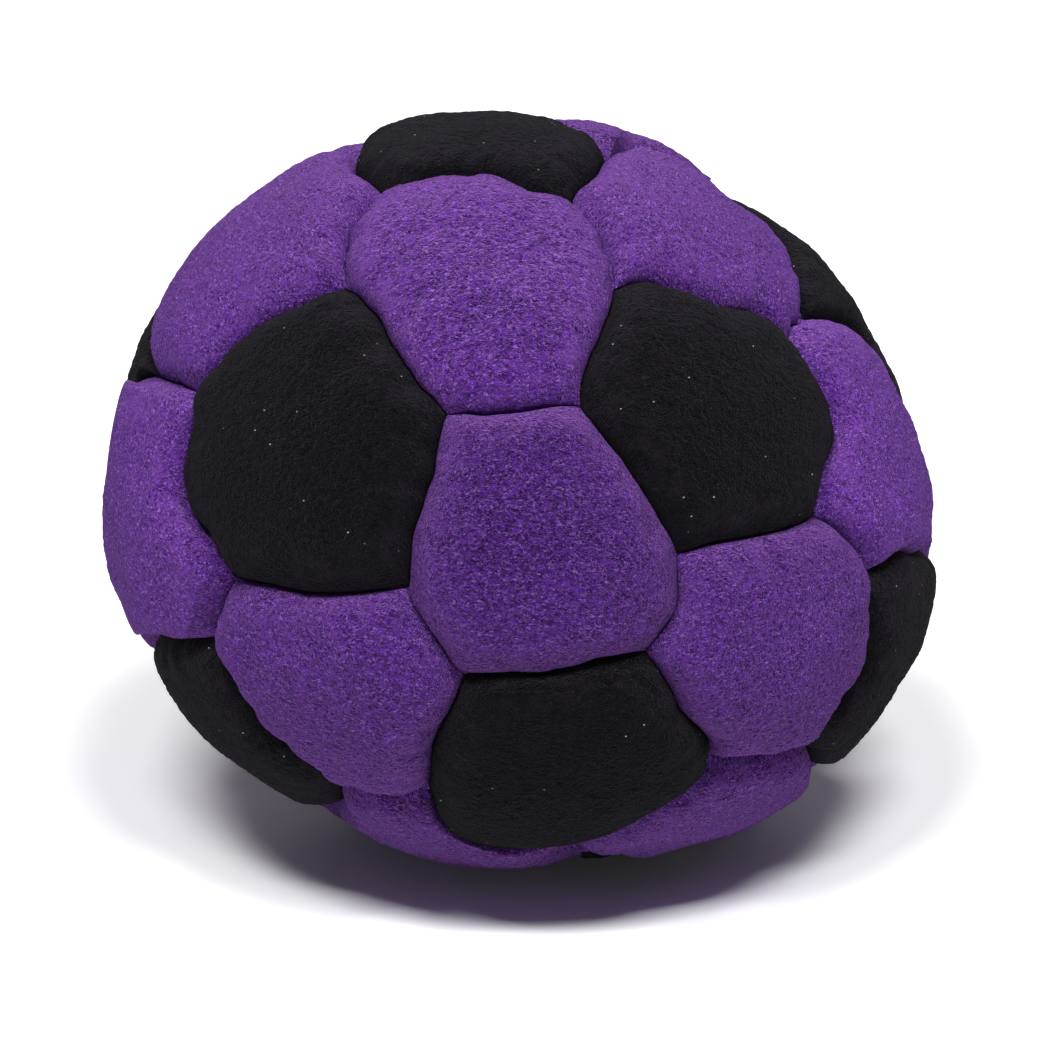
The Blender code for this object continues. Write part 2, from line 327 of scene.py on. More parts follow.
def pixel_directions(pixels):
    """The directions of the seam surface's points that show at these pixels. A ray from the
    camera meets the upper half ellipsoid, or the lower one where it passes under the waist."""
    sine, cosine = math.sin(PICTURE_ELEVATION), math.cos(PICTURE_ELEVATION)
    across = (pixels[:, 0] - PICTURE_CENTRE[0]) / PICTURE_HALF_WIDTH_PIXELS
    up = (PICTURE_CENTRE[1] - pixels[:, 1]) / PICTURE_HALF_WIDTH_PIXELS
    eye = np.array([0, -cosine, sine]) * PICTURE_DISTANCE_SHARE
    sight = np.column_stack([across, up * sine, up * cosine]) - eye
    hits = []
    for reach_share in (PICTURE_SEAM_RISE_SHARE, PICTURE_SEAM_DROP_SHARE):
        shares = np.array([PICTURE_SEAM_WIDTH_SHARE, PICTURE_SEAM_WIDTH_SHARE, reach_share])
        start, rays = leaned(eye, -BODY_LEAN) / shares, leaned(sight, -BODY_LEAN) / shares
        squares = (rays ** 2).sum(1)
        nearest = -(rays @ start) / squares
        half_chord = np.sqrt(np.maximum(nearest ** 2 - (start @ start - 1) / squares, 0))
        hits.append(start + rays * (nearest - half_chord)[:, None])
    return unit(np.where(hits[0][:, 2:] > 0, hits[0], hits[1]))


def lean_matrix(angle):
    """A lean by this angle towards the heading that the pattern leans to."""
    axis = (-math.sin(LEAN_HEADING), math.cos(LEAN_HEADING), 0)
    return np.array(Matrix.Rotation(angle, 3, axis))


def make_pattern():
    """The 60 corners as unit directions, and each panel's corners counter-clockwise from
    outside."""
    pattern = bmesh.new()
    bmesh.ops.create_icosphere(pattern, subdivisions=1, radius=1.0)
    bmesh.ops.bevel(
        pattern, geom=pattern.verts[:], offset=CORNER_CUT_PERCENT, offset_type="PERCENT",
        segments=1, affect="VERTICES",
    )
    bmesh.ops.recalc_face_normals(pattern, faces=pattern.faces[:])
    corners = np.array([corner.co for corner in pattern.verts])
    faces = [[corner.index for corner in face.verts] for face in pattern.faces]
    pattern.free()
    turn = lean_matrix(PATTERN_LEAN) @ np.array(Matrix.Rotation(PATTERN_TURN, 3, "Z"))
    corners = unit(corners @ turn.T)
    heading, elevation = np.radians(OUTLINE_CORNER_DEGREES).T
    past_outline = np.column_stack([
        np.cos(elevation) * np.cos(heading), np.cos(elevation) * np.sin(heading),
        np.sin(elevation)])
    free = np.ones(len(corners), bool)
    for place in np.concatenate([pixel_directions(SEAM_CORNER_PIXELS), past_outline]):
        away = np.where(free, np.linalg.norm(corners - place, axis=1), np.inf)
        corners[away.argmin()] = place
        free[away.argmin()] = False
    return corners, faces


CORNERS, FACES = make_pattern()
print(len(CORNERS), "seam corners and", len(FACES), "panels")

# %% [markdown]
# The panels are named by their place: rings from the top down, each counted round the bag from
# the front. The names are those of the CAD nodes, so each soft panel knows which rigid one it
# stands for.

# %% Name the panels
RING_TITLES = ("top", "upper", "lower", "bottom")
RING_COUNTS = {"black": (1, 5, 5, 1), "purple": (5, 5, 5, 5)}
SIDES = {"black": 5, "purple": 6}
FIRST_HEADING = math.radians(-108.0)


def name_panels():
    """Sort the faces by level with the pattern's lean taken out, then by heading."""
    panels = []
    for colour, sides in SIDES.items():
        faces = [face for face in FACES if len(face) == sides]
        middles = {id(face): CORNERS[face].mean(0) for face in faces}
        faces.sort(key=lambda face: -(lean_matrix(-PATTERN_LEAN) @ unit(middles[id(face)]))[2])
        for title, count in zip(RING_TITLES, RING_COUNTS[colour]):
            ring, faces = faces[:count], faces[count:]
            ring.sort(key=lambda face: (
                math.atan2(middles[id(face)][1], middles[id(face)][0]) - FIRST_HEADING
            ) % math.tau)
            for number, face in enumerate(ring, start=1):
                place = title if count == 1 else f"{title}_{number}"
                panels.append({
                    "name": f"{colour}_panel_{place}", "title": f"{colour} {place}",
                    "colour": colour, "place": place, "corners": face})
    return panels


PANELS = name_panels()
print("the CAD has the same names:", sorted(panel["name"] for panel in PANELS) == sorted(
    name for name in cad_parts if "_panel_" in name))

# %% [markdown]
# ## Seams and stitches
#
# A seam is where two turned-in edges meet. Between two stitches the suede puffs out, and at each
# stitch both panels are pulled down into a small dimple, so a seam seen from the side looks
# scalloped. A black pentagon is pulled rounder than it was cut: its seams bow out into the
# purple ones. Each seam is described once and read from both of its sides, so the two panels
# always fit each other.

# %% Sizes of seams and stitches
SEED = 32
STITCH_PITCH = 0.0028
FEWEST_STITCHES = 3
STITCH_WANDER = 0.22
SEAM_BOW = 0.0005
BOW_SPREAD = 0.00015
SEAM_WAVES = (0.00012, 0.00008, 0.00008)
SEEN_SEAM_WAVE_SHARE = 0.5
SCALLOP_SPREAD = 0.00010
SCALLOP_REACH = 0.0007
PULL_SHARES = (0.15, 1.0)

# For seams read from the picture: the most that their bow and their two waves may reach, the
# shares of the way that pixels near a corner are moved to, and how much the fit prefers a small
# height
SEEN_CURVE_LIMITS = np.array([0.0019, 0.0009, 0.0005])
SEEN_END_SHARES = (0.08, 0.92)
FIT_CAUTION = 0.02

# How far the seams under the front of the bag bow out of their black panel
HIDDEN_BOWS = {("black lower_1", "purple bottom_5"): 0.0038,
               ("black lower_1", "purple bottom_1"): 0.0040,
               ("black bottom", "purple bottom_5"): -0.0010,
               ("black bottom", "purple bottom_1"): -0.0030}

# The seam surface's mean radius, which turns unit directions into metres along it
MEAN_RADIUS = 0.0243
print("a stitch every", STITCH_PITCH, "m, and black panels bow out by", SEAM_BOW, "m")

# %% [markdown]
# Where a seam shows in the picture, it follows the picture. A few of its points between the two
# corners were read off, and the seam's bow and waves are fitted to them.

# %% The seams that show
SEAM_PIXELS = {
    ("purple upper_1", "purple top_1"): ((480, 411), (515, 410), (550, 404)),
    ("purple upper_1", "black upper_1"): ((606, 433), (636, 474), (664, 519)),
    ("purple upper_1", "purple lower_1"): ((683, 577), (682, 603), (670, 628)),
    ("purple upper_1", "black lower_1"): ((508, 676), (556, 673), (604, 661)),
    ("purple upper_1", "purple lower_5"): ((413, 611), (428, 633), (446, 660)),
    ("purple upper_1", "black upper_5"): ((433, 458), (419, 508), (407, 550)),
    ("purple top_1", "black upper_5"): ((376, 316), (395, 351), (418, 382)),
    ("purple top_1", "black upper_1"): ((611, 309), (598, 340), (585, 372)),
    ("purple top_1", "purple top_2"): ((587, 209), (603, 234), (614, 256)),
    ("purple top_1", "black top"): ((428, 179), (468, 172), (525, 188)),
    ("purple top_1", "purple top_5"): ((362, 208), (347, 232), (341, 258)),
    ("purple top_5", "black upper_5"): ((300, 301), (262, 319), (222, 354)),
    ("purple top_5", "purple upper_5"): ((178, 384), (164, 379)),
    ("purple top_5", "black upper_4"): ((153, 346), (157, 325)),
    ("purple upper_5", "black upper_4"): ((134, 380), (117, 402)),
    ("purple upper_5", "black upper_5"): ((188, 440), (178, 478), (196, 524)),
    ("purple upper_5", "purple lower_5"): ((221, 597), (216, 612), (211, 628)),
    ("black upper_5", "purple lower_5"): ((268, 588), (314, 596), (362, 594)),
    ("purple lower_5", "black lower_5"): ((236, 677), (262, 720), (296, 749)),
    ("purple lower_5", "purple bottom_5"): ((358, 788), (382, 793), (404, 795)),
    ("purple lower_5", "black lower_1"): ((453, 705), (437, 735), (428, 768)),
    ("purple lower_1", "black lower_1"): ((668, 682), (683, 714), (707, 738)),
    ("purple lower_1", "black upper_1"): ((716, 544), (753, 537), (790, 529)),
    ("purple lower_1", "purple upper_2"): ((838, 524), (852, 539), (864, 556)),
    ("purple lower_1", "black lower_2"): ((871, 615), (866, 655), (842, 697)),
    ("purple lower_1", "purple bottom_1"): ((733, 766), (758, 767), (784, 757)),
    ("black upper_1", "purple upper_2"): ((814, 372), (838, 415), (833, 460)),
    ("black upper_1", "purple top_2"): ((660, 278), (705, 297), (752, 308)),
    ("purple top_2", "black upper_2"): ((745, 216), (779, 246), (801, 284)),
    ("purple upper_2", "black upper_2"): ((835, 313), (857, 325)),
    ("purple upper_2", "black lower_2"): ((885, 565), (899, 553)),
    ("purple top_2", "black top"): ((581, 182), (600, 167)),
    ("purple top_2", "purple top_3"): ((640, 153), (670, 160), (698, 180)),
    ("purple top_5", "black top"): ((366, 177), (352, 166)),
}
print("points were read on", len(SEAM_PIXELS), "seams")


# %% Describe every seam
def seam_curve(first, last, aside, pixels):
    """The bow and two waves that take a seam closest to its pixels. Each pixel's place is its
    share of the way between the corners and its distance aside of the straight line; the heights
    of the three sine waves come from least squares, the smallest ones that fit. They are capped,
    because pixels near the outline say little about the rest of a seam."""
    places = pixel_directions(np.array(pixels, float))
    run = last - first
    straight = (first + last) / 2
    places = places * (straight @ straight) / (places @ straight)[:, None]
    shares = np.clip((places - first) @ run / (run @ run), *SEEN_END_SHARES)
    offsets = (places - first) @ aside * MEAN_RADIUS
    shapes = np.sin(math.pi * shares[:, None] * np.arange(1, 4))
    squares = shapes.T @ shapes + FIT_CAUTION * np.eye(3)
    heights = np.linalg.solve(squares, shapes.T @ offsets)
    heights = np.clip(heights, -SEEN_CURVE_LIMITS, SEEN_CURVE_LIMITS)
    return heights[0], heights[1:]


def describe_seams():
    """For each pair of neighbouring corners: its panels, its stitches as shares of its length
    with how hard each one pulls, its bow and its waves."""
    seams = {}
    for panel in PANELS:
        ring = panel["corners"]
        for start, end in zip(ring, ring[1:] + ring[:1]):
            seams.setdefault((min(start, end), max(start, end)), []).append(panel)
    draws = np.random.default_rng(SEED)
    described = {}
    for ends in sorted(seams):
        first, last = CORNERS[list(ends)]
        length = np.linalg.norm(last - first) * MEAN_RADIUS
        count = max(FEWEST_STITCHES, round(length / STITCH_PITCH))
        wander = draws.uniform(-STITCH_WANDER, STITCH_WANDER, count - 1)
        stitches = np.concatenate([[0], (np.arange(1, count) + wander) / count, [1]])
        black = [panel for panel in seams[ends] if panel["colour"] == "black"]
        aside = unit(np.cross(first, last))
        bow = draws.normal(0, BOW_SPREAD)
        titles = tuple(panel["title"] for panel in seams[ends])
        if black:
            away = (first + last) / 2 - CORNERS[black[0]["corners"]].mean(0)
            bow += HIDDEN_BOWS.get(titles, SEAM_BOW) * np.sign(aside @ away)
        waves = draws.normal(0, 1, len(SEAM_WAVES)) * SEAM_WAVES
        pixels = SEAM_PIXELS.get(titles) or SEAM_PIXELS.get(titles[::-1])
        if pixels:
            bow, seen_waves = seam_curve(first, last, aside, pixels)
            waves = np.concatenate([seen_waves, waves[2:] * SEEN_SEAM_WAVE_SHARE])
        described[ends] = {
            "length": length,
            "stitches": stitches,
            "pulls": draws.uniform(*PULL_SHARES, count + 1),
            "aside": aside,
            "bow": bow,
            "waves": waves,
            "scallop": draws.normal(0, SCALLOP_SPREAD),
            "seen": bool(pixels),
        }
    return described


SEAMS = describe_seams()
print(len(SEAMS), "seams,", sum(len(seam["stitches"]) - 1 for seam in SEAMS.values()), "stitches")
print(sum(seam["seen"] for seam in SEAMS.values()), "of", len(SEAM_PIXELS), "seams follow pixels")


# %% Read a seam from either side
def seam_shift(seam, shares):
    """How far a seam lies aside of the straight line between its corners: a bow as half a sine
    wave, plus waves of two, three and four half periods that also vanish at the corners."""
    shift = seam["bow"] * np.sin(math.pi * shares)
    for number, height in enumerate(seam["waves"], start=2):
        shift = shift + height * np.sin(number * math.pi * shares)
    level = np.sin(math.pi * np.clip(shares, 0, 1))
    return shift + seam["scallop"] * level * (0.5 - stitch_pull(seam, shares, SCALLOP_REACH))


def stitch_pull(seam, shares, reach):
    """How strongly the stitches pull at these shares of a seam: the largest of a row of bell
    curves, one for each stitch."""
    off = (shares[..., None] - seam["stitches"]) * seam["length"] / reach
    return (seam["pulls"] * np.exp(-off ** 2)).max(-1)


print("widest bow:", round(1000 * max(abs(seam["bow"]) for seam in SEAMS.values()), 2), "mm")

# %% [markdown]
# ## The fan of a panel
#
# Every panel is laid out as a fan: rings of points round its middle, the outermost on its seams.
# Ring number i has i points along each side, so the small triangles stay almost equal and there
# is no pinched pole. One fan of each kind serves all the panels of that kind.

# %% Fans of rings
def make_fan(sides, rings):
    """Ring, side and step of each point, the point's own number, and the triangles. Point
    (ring i, side k, step j) is number 1 + sides i (i - 1) / 2 + (k i + j) modulo sides i."""
    def number(ring, side, step):
        around = (side * ring + step) % np.maximum(sides * ring, 1)
        return np.where(ring == 0, 0, 1 + sides * ring * (ring - 1) // 2 + around)

    ring = np.repeat(np.arange(1, rings + 1), sides * np.arange(1, rings + 1))
    place = np.arange(len(ring)) - sides * ring * (ring - 1) // 2
    side, step = place // ring, place % ring
    outer = np.column_stack([
        number(ring, side, step), number(ring, side, step + 1), number(ring - 1, side, step)])
    inner = np.column_stack([
        number(ring - 1, side, step), number(ring, side, step + 1),
        number(ring - 1, side, step + 1)])[step < ring - 1]
    return {
        "ring": np.append(0, ring), "side": np.append(0, side), "step": np.append(0, step / ring),
        "triangles": np.concatenate([outer, inner]), "rim": sides * rings}


def make_fans(rings):
    """The pentagon's and the hexagon's fan, by their number of sides."""
    return {sides: make_fan(sides, rings) for sides in SIDES.values()}


def side_by_side(patches, fans):
    """The triangles of all the panels' patches in a row, and the first point of each patch."""
    starts = np.cumsum([0] + [len(patch[0]) for patch in patches])
    triangles = np.concatenate([
        fans[len(panel["corners"])]["triangles"] + start
        for panel, start in zip(PANELS, starts)])
    return triangles, starts


for sides, fan in make_fans(4).items():
    print(sides, "sides, 4 rings:", len(fan["ring"]), "points,", len(fan["triangles"]), "triangles")

# %% [markdown]
# ## The puffed panel
#
# A panel's height over the seam surface is a low crown, times a quarter of an ellipse across
# each seam, less a valley at each stitch. The quarter ellipses make the suede roll over and
# plunge straight down into the seam, and where two of them multiply, at a corner, the panel is
# rounded off. Multiplying them keeps the form smooth everywhere, which a plain nearest-seam
# distance would not.

# %% Smooth noise for dents and nap
GRID_PRIMES = np.array([73856093, 19349663, 83492791], np.uint64)
SEED_PRIME = 2654435761
STIR_PRIME = np.uint64(1274126177)
LOW_BITS = 0xFFFFFF


def corner_numbers(grid, seed):
    """A fixed random number from -1 to 1 for each corner of a cubic grid: its three counts times
    three large primes and the seed times a fourth, mixed bit by bit and stirred twice."""
    code = np.bitwise_xor.reduce(grid.astype(np.uint64) * GRID_PRIMES, axis=1)
    code ^= np.uint64(seed * SEED_PRIME)
    code = (code ^ (code >> np.uint64(13))) * STIR_PRIME
    code = (code ^ (code >> np.uint64(16))) & np.uint64(LOW_BITS)
    return code.astype(float) / (LOW_BITS // 2) - 1


def lattice_noise(points, cell, seed):
    """Smooth noise from -1 to 1: the random numbers at the corners of a cubic grid of this cell
    size, blended in between with smooth steps."""
    spots = points / cell
    base = np.floor(spots).astype(np.int64)
    part = spots - base
    part = part * part * (3 - 2 * part)
    total = np.zeros(len(points))
    for corner in np.ndindex(2, 2, 2):
        weight = np.where(corner, part, 1 - part).prod(1)
        total += weight * corner_numbers(base + corner, seed)
    return total


print("noise at the middle:", lattice_noise(np.zeros((1, 3)), 1.0, SEED).round(3))

# %% Sizes of the puff
# Height of a panel where its edge starts to roll over, and how wide the roll is
SHOULDER = 0.00095
ROLL_WIDTH = 0.0021
ROLL_RINGS = 16

# How much wider a stitch makes the roll, how far along the seam it does so, and how deep it
# pulls its valley
STITCH_ROLL = 0.6
STITCH_REACH = 0.00055
STITCH_VALLEY = 0.00022

# How deep the whole seam lies, how quickly that ends away from it, and half the gap in it
SEAM_SINK = 0.0007
VALLEY_LENGTH = 0.0009
HALF_GAP = 0.00004

# Soft dents by their size and depth, and how unequal the crowns are
DENT_SIZES = ((0.0085, 0.00034), (0.0042, 0.00012), (0.0021, 0.00004))
DENT_SEED = 5
CROWN_SPREAD = 0.00008

# How much fuller or flatter than usual a few panels are along the bag's outline
FULLER_PANELS = {"purple upper_5": 0.0009, "purple top_3": 0.0007, "black lower_1": 0.0006,
                 "black bottom": -0.0011}
crown_draws = np.random.default_rng(SEED + 1)
for panel in PANELS:
    fuller = FULLER_PANELS.get(panel["title"], 0)
    panel["crown"] = PANEL_CROWN + fuller + crown_draws.normal(0, CROWN_SPREAD)
print("crowns from", round(1000 * min(p["crown"] for p in PANELS), 2), "to",
      round(1000 * max(p["crown"] for p in PANELS), 2), "mm")


# %% The lie of a panel's points
def panel_outline(panel):
    """A panel's corners, its middle, and the distance from its middle to its sides."""
    corners = CORNERS[panel["corners"]]
    middle = corners.mean(0)
    halfway = (corners + np.roll(corners, -1, 0)) / 2
    return corners, middle, np.linalg.norm(halfway - middle, axis=1).mean() * MEAN_RADIUS


def panel_seams(panel):
    """The panel's seams in order, each with True where it runs the way the panel does."""
    ring = panel["corners"]
    return [(SEAMS[min(a, b), max(a, b)], a < b) for a, b in zip(ring, ring[1:] + ring[:1])]


def lay_out(panel, fan, shares, inset):
    """Flat points of a panel, and the same points moved aside by its seams' bows and waves. A
    flat point is the middle plus a share of the way to the straight border; the border is drawn
    in by the inset, and a bow fades towards the middle with the cube of the share."""
    corners, middle, apothem = panel_outline(panel)
    start, end = corners[fan["side"]], np.roll(corners, -1, 0)[fan["side"]]
    border = start + (end - start) * fan["step"][:, None]
    flat = middle + (border - middle) * shares[:, None]
    drawn = middle + (border - middle) * (shares * (1 - inset / apothem))[:, None]
    for side, (seam, same_way) in enumerate(panel_seams(panel)):
        here = fan["side"] == side
        along = fan["step"][here] if same_way else 1 - fan["step"][here]
        shift = seam_shift(seam, along) / MEAN_RADIUS * shares[here] ** 3
        drawn[here] += seam["aside"] * shift[:, None]
    return flat, drawn


print("a panel's seams:", len(panel_seams(PANELS[0])))


# %% The height of a panel's points
def dome_height(panel, flat, crown):
    """A panel's height without its rolled edges: the shoulder's height, plus the rest of the
    crown times one minus the square of the way out."""
    corners, middle, _ = panel_outline(panel)
    out = np.linalg.norm(flat - middle, axis=1) / np.linalg.norm(corners - middle, axis=1).mean()
    return SHOULDER + (crown - SHOULDER) * (1 - out ** 2)


def quarter_ellipse(share):
    """Height of a quarter ellipse from 0 at its foot to 1 where it runs level."""
    return np.sqrt(1 - (1 - np.clip(share, 0, 1)) ** 2)


def panel_heights(panel, flat):
    """Height over the seam surface at flat points, and how near each one is to a seam."""
    corners = panel_outline(panel)[0]
    ends = np.roll(corners, -1, 0)
    height = dome_height(panel, flat, panel["crown"])
    rim = np.zeros(len(flat))
    for corner, end, (seam, same_way) in zip(corners, ends, panel_seams(panel)):
        run = end - corner
        along = ((flat - corner) @ run) / (run @ run)
        away = np.linalg.norm(np.cross(flat - corner, run), axis=1) / np.linalg.norm(run)
        away = away * MEAN_RADIUS
        pull = stitch_pull(seam, along if same_way else 1 - along, STITCH_REACH)
        height = height * quarter_ellipse(away / (ROLL_WIDTH * (1 + STITCH_ROLL * pull)))
        height = height - (STITCH_VALLEY * pull + SEAM_SINK) * np.exp(-away / VALLEY_LENGTH)
        rim = np.maximum(rim, np.exp(-away / ROLL_WIDTH))
    return height, rim


middle_height = panel_heights(PANELS[0], panel_outline(PANELS[0])[1][None])[0]
print("the top panel's middle is", (1000 * middle_height).round(2), "mm over the seam surface")

# %% [markdown]
# ## The skin as a cloth
#
# A bag's skin is not a smooth formula: it is cloth that the pellets push out while the stitches
# hold it. So the whole skin is made once more as a coarse cloth, ten times as large because the
# solver likes sizes near a metre. Its seams are pinned, each stitch a little deeper than the
# stretches between, the cloth is given some slack, and a pressure inside blows it up for twenty
# steps without gravity. What is kept is how far each point moved from the plain formula. The
# move is capped, and the swell that all the panels share is taken off ring by ring, because the
# formula has it already. What is left are the uneven swellings and the small folds that run in
# from the stitches, and they are later added to the fine panels.

# %% A mesh from arrays
def mesh_from_arrays(name, points, triangles):
    """A smooth mesh from whole arrays of points and triangles."""
    mesh = bpy.data.meshes.new(name)
    mesh.vertices.add(len(points))
    mesh.vertices.foreach_set("co", points.astype(np.float32).ravel())
    mesh.loops.add(triangles.size)
    mesh.loops.foreach_set("vertex_index", triangles.astype(np.int32).ravel())
    mesh.polygons.add(len(triangles))
    mesh.polygons.foreach_set("loop_start", np.arange(0, triangles.size, 3, dtype=np.int32))
    mesh.update(calc_edges=True)
    mesh.validate()
    mesh.shade_smooth()
    return mesh


TWIN_DISTANCE = 1e-6


def merged(points):
    """The first of each group of points at one place, and for each point the number of its
    group. Places are compared on a very fine grid."""
    keys = np.round(points / TWIN_DISTANCE).astype(np.int64)
    _, first, number = np.unique(keys, axis=0, return_index=True, return_inverse=True)
    return first, number.ravel()


print("points less than", TWIN_DISTANCE, "m apart become one")

# %% Sizes of the cloth
CLOTH_RINGS = 16
CLOTH_SCALE = 10.0
CLOTH_SLACK = 0.030
CLOTH_PRESSURE = 4.0
CLOTH_STEPS = 20
CLOTH_STUFF = {"quality": 5, "mass": 0.3, "tension_stiffness": 15, "compression_stiffness": 15,
               "shear_stiffness": 5, "bending_stiffness": 0.5}

# The cloth starts with this share of the crown, with its stitches this deep and with bumps of
# these sizes and heights, and no point of it is taken further than the cap
CLOTH_START = 0.35
STITCH_DIMPLE = 0.00045
CLOTH_BUMPS = ((0.0070, 0.00030), (0.0034, 0.00016))
BUMP_SEED = 21
CLOTH_CAP = 0.0008
NO_LENGTH = 1e-9


def cloth_patch(panel, fan):
    """A panel's coarse points for the cloth: where the formula puts them, where the cloth
    starts, and how firmly each one is pinned."""
    shares = np.arange(CLOTH_RINGS + 1)[fan["ring"]] / CLOTH_RINGS
    flat, drawn = lay_out(panel, fan, shares, 0)
    formula = raised(drawn, dome_height(panel, flat, panel["crown"]))
    start_height = dome_height(panel, flat, SHOULDER + (panel["crown"] - SHOULDER) * CLOTH_START)
    border = fan["ring"] == CLOTH_RINGS
    for side, (seam, same_way) in enumerate(panel_seams(panel)):
        here = border & (fan["side"] == side)
        along = fan["step"][here] if same_way else 1 - fan["step"][here]
        start_height[here] = SHOULDER - STITCH_DIMPLE * stitch_pull(seam, along, STITCH_REACH)
    for number, (cell, depth) in enumerate(CLOTH_BUMPS):
        bumps = depth * lattice_noise(formula, cell, BUMP_SEED + number)
        start_height = start_height + np.where(border, 0, bumps)
    return flat, formula, raised(drawn, start_height), border


print("cloth points on a hexagon:", len(make_fan(6, CLOTH_RINGS)["ring"]))


# %% Blow up the skin
def blow_up(points, triangles, pinned):
    """Run the cloth from these points and give back where they end."""
    mesh = mesh_from_arrays("skin_cloth", points * CLOTH_SCALE, triangles)
    skin = bpy.data.objects.new("skin_cloth", mesh)
    bpy.context.scene.collection.objects.link(skin)
    skin.vertex_groups.new(name="seams").add(np.flatnonzero(pinned).tolist(), 1.0, "REPLACE")
    cloth = skin.modifiers.new("cloth", "CLOTH")
    cloth.point_cache.frame_start, cloth.point_cache.frame_end = 1, CLOTH_STEPS
    settings = cloth.settings
    for name, value in CLOTH_STUFF.items():
        setattr(settings, name, value)
    settings.shrink_min = settings.shrink_max = -CLOTH_SLACK
    settings.vertex_group_mass = "seams"
    settings.use_pressure = True
    settings.uniform_pressure_force = CLOTH_PRESSURE
    settings.effector_weights.gravity = 0
    for step in range(1, CLOTH_STEPS + 1):
        bpy.context.scene.frame_set(step)
    blown = skin.evaluated_get(bpy.context.evaluated_depsgraph_get()).to_mesh()
    ended = np.empty(len(points) * 3, np.float32)
    blown.vertices.foreach_get("co", ended)
    bpy.data.objects.remove(skin)
    bpy.data.meshes.remove(mesh)
    bpy.context.scene.frame_set(1)
    return ended.reshape(-1, 3).astype(float) / CLOTH_SCALE


def simulate_skin():
    """Lay all the panels' coarse fans side by side, merge their shared seam points, run the
    cloth, and keep for each panel its coarse points with how far each one moved."""
    fans = make_fans(CLOTH_RINGS)
    patches = [cloth_patch(panel, fans[len(panel["corners"])]) for panel in PANELS]
    starts = np.concatenate([patch[2] for patch in patches])
    pinned = np.concatenate([patch[3] for patch in patches])
    triangles, offsets = side_by_side(patches, fans)
    first, number = merged(starts)
    ended = blow_up(starts[first], number[triangles], pinned[first])[number]
    moves = {}
    for panel, patch, offset in zip(PANELS, patches, offsets):
        flat, formula = patch[:2]
        move = ended[offset:offset + len(flat)] - formula
        far = np.linalg.norm(move, axis=1, keepdims=True)
        cap = np.minimum(1, CLOTH_CAP / np.maximum(far, NO_LENGTH))
        moves[panel["name"]] = (flat, move * cap)
    for sides, fan in fans.items():
        alike = [moves[panel["name"]] for panel in PANELS if len(panel["corners"]) == sides]
        swell = np.mean([(move * outward(flat)).sum(1) for flat, move in alike], axis=0)
        swell = (np.bincount(fan["ring"], swell) / np.bincount(fan["ring"]))[fan["ring"]]
        for flat, move in alike:
            move -= outward(flat) * swell[:, None]
    return moves


CLOTH_MOVES = simulate_skin()
for name in list(CLOTH_MOVES)[:3]:
    flat, move = CLOTH_MOVES[name]
    print(name, "middle moved by", (1000 * move[0]).round(2), "mm, most",
          round(1000 * np.linalg.norm(move, axis=1).max(), 2), "mm")


# %% Read the cloth at any point
CLOTH_BLUR = 0.00045
POINTS_AT_ONCE = 2000


def cloth_move(panel, flat):
    """How far the cloth moved at flat points: the coarse points' moves, weighted by a bell
    curve of their distance. The points are taken in blocks, to keep the memory small."""
    if panel["name"] not in CLOTH_MOVES:
        return np.zeros_like(flat)
    known, move = CLOTH_MOVES[panel["name"]]
    reach = CLOTH_BLUR / MEAN_RADIUS
    middle = known.mean(0)
    known = ((known - middle) / reach).astype(np.float32)
    summed = np.column_stack([move, np.ones(len(move))]).astype(np.float32)
    moved = np.empty((len(flat), 4))
    for start in range(0, len(flat), POINTS_AT_ONCE):
        block = slice(start, start + POINTS_AT_ONCE)
        spots = ((flat[block] - middle) / reach).astype(np.float32)
        halves = spots @ known.T - (known ** 2).sum(1) / 2 - (spots ** 2).sum(1)[:, None] / 2
        moved[block] = np.exp(np.minimum(halves, 0)) @ summed
    return moved[:, :3] / np.maximum(moved[:, 3:], NO_LENGTH)


middle_point = CORNERS[PANELS[0]["corners"]].mean(0)[None]
print("the top panel's middle moved by", (1000 * cloth_move(PANELS[0], middle_point)).round(2), "mm")

# %% [markdown]
# Each panel is a closed shell of real thickness. Its outer face is fine enough for the nap to
# show in its outline. At the rim it runs on down the turned-in edge, round its end, and back
# under the panel as a plain inner face with fewer rings, because nobody sees that one.

# %% Rings and loops of a shell
QUICK_RINGS, FINE_RINGS = 30, 80
OUTER_RINGS = FINE_RINGS
OUTER_PER_INNER = 5
INNER_RINGS = OUTER_RINGS // OUTER_PER_INNER


def ring_shares(panel, rings, roll_rings):
    """How far out each ring lies: even steps to where the roll starts, and from there steps of
    equal angle round the quarter ellipse."""
    apothem = panel_outline(panel)[2]
    roll = ROLL_WIDTH / apothem
    level = np.linspace(0, 1 - roll, rings - roll_rings + 1)
    angles = np.linspace(math.pi / 2, 0, roll_rings + 1)[1:]
    return np.concatenate([level, 1 - roll * (1 - np.cos(angles))])


def loop_strip(first, second):
    """Triangles between two closed loops of points, the second with a whole number of times
    fewer points: each of its steps takes a fan of the first loop's steps."""
    times = len(first) // len(second)
    step = np.arange(len(first))
    part, block = step % times, step // times
    switch = times // 2
    near = np.where(part < switch, block, block + 1) % len(second)
    fans = np.column_stack([first, second[near], np.roll(first, -1)])
    block = np.arange(len(second))
    caps = np.column_stack([
        first[block * times + switch], second[block], second[(block + 1) % len(second)]])
    return np.concatenate([fans, caps])


print("rings of a panel:", OUTER_RINGS, "outside,", INNER_RINGS, "inside")

# %% Build one panel's shell
SUEDE_THICKNESS = 0.0008
INNER_FALL = 0.0003
SEAM_ALLOWANCE = 0.0016
FLANGE_ROWS = 6
NAP_RELIEF = ((0.00045, 0.000040), (0.00024, 0.000050))
NAP_SEED = 11


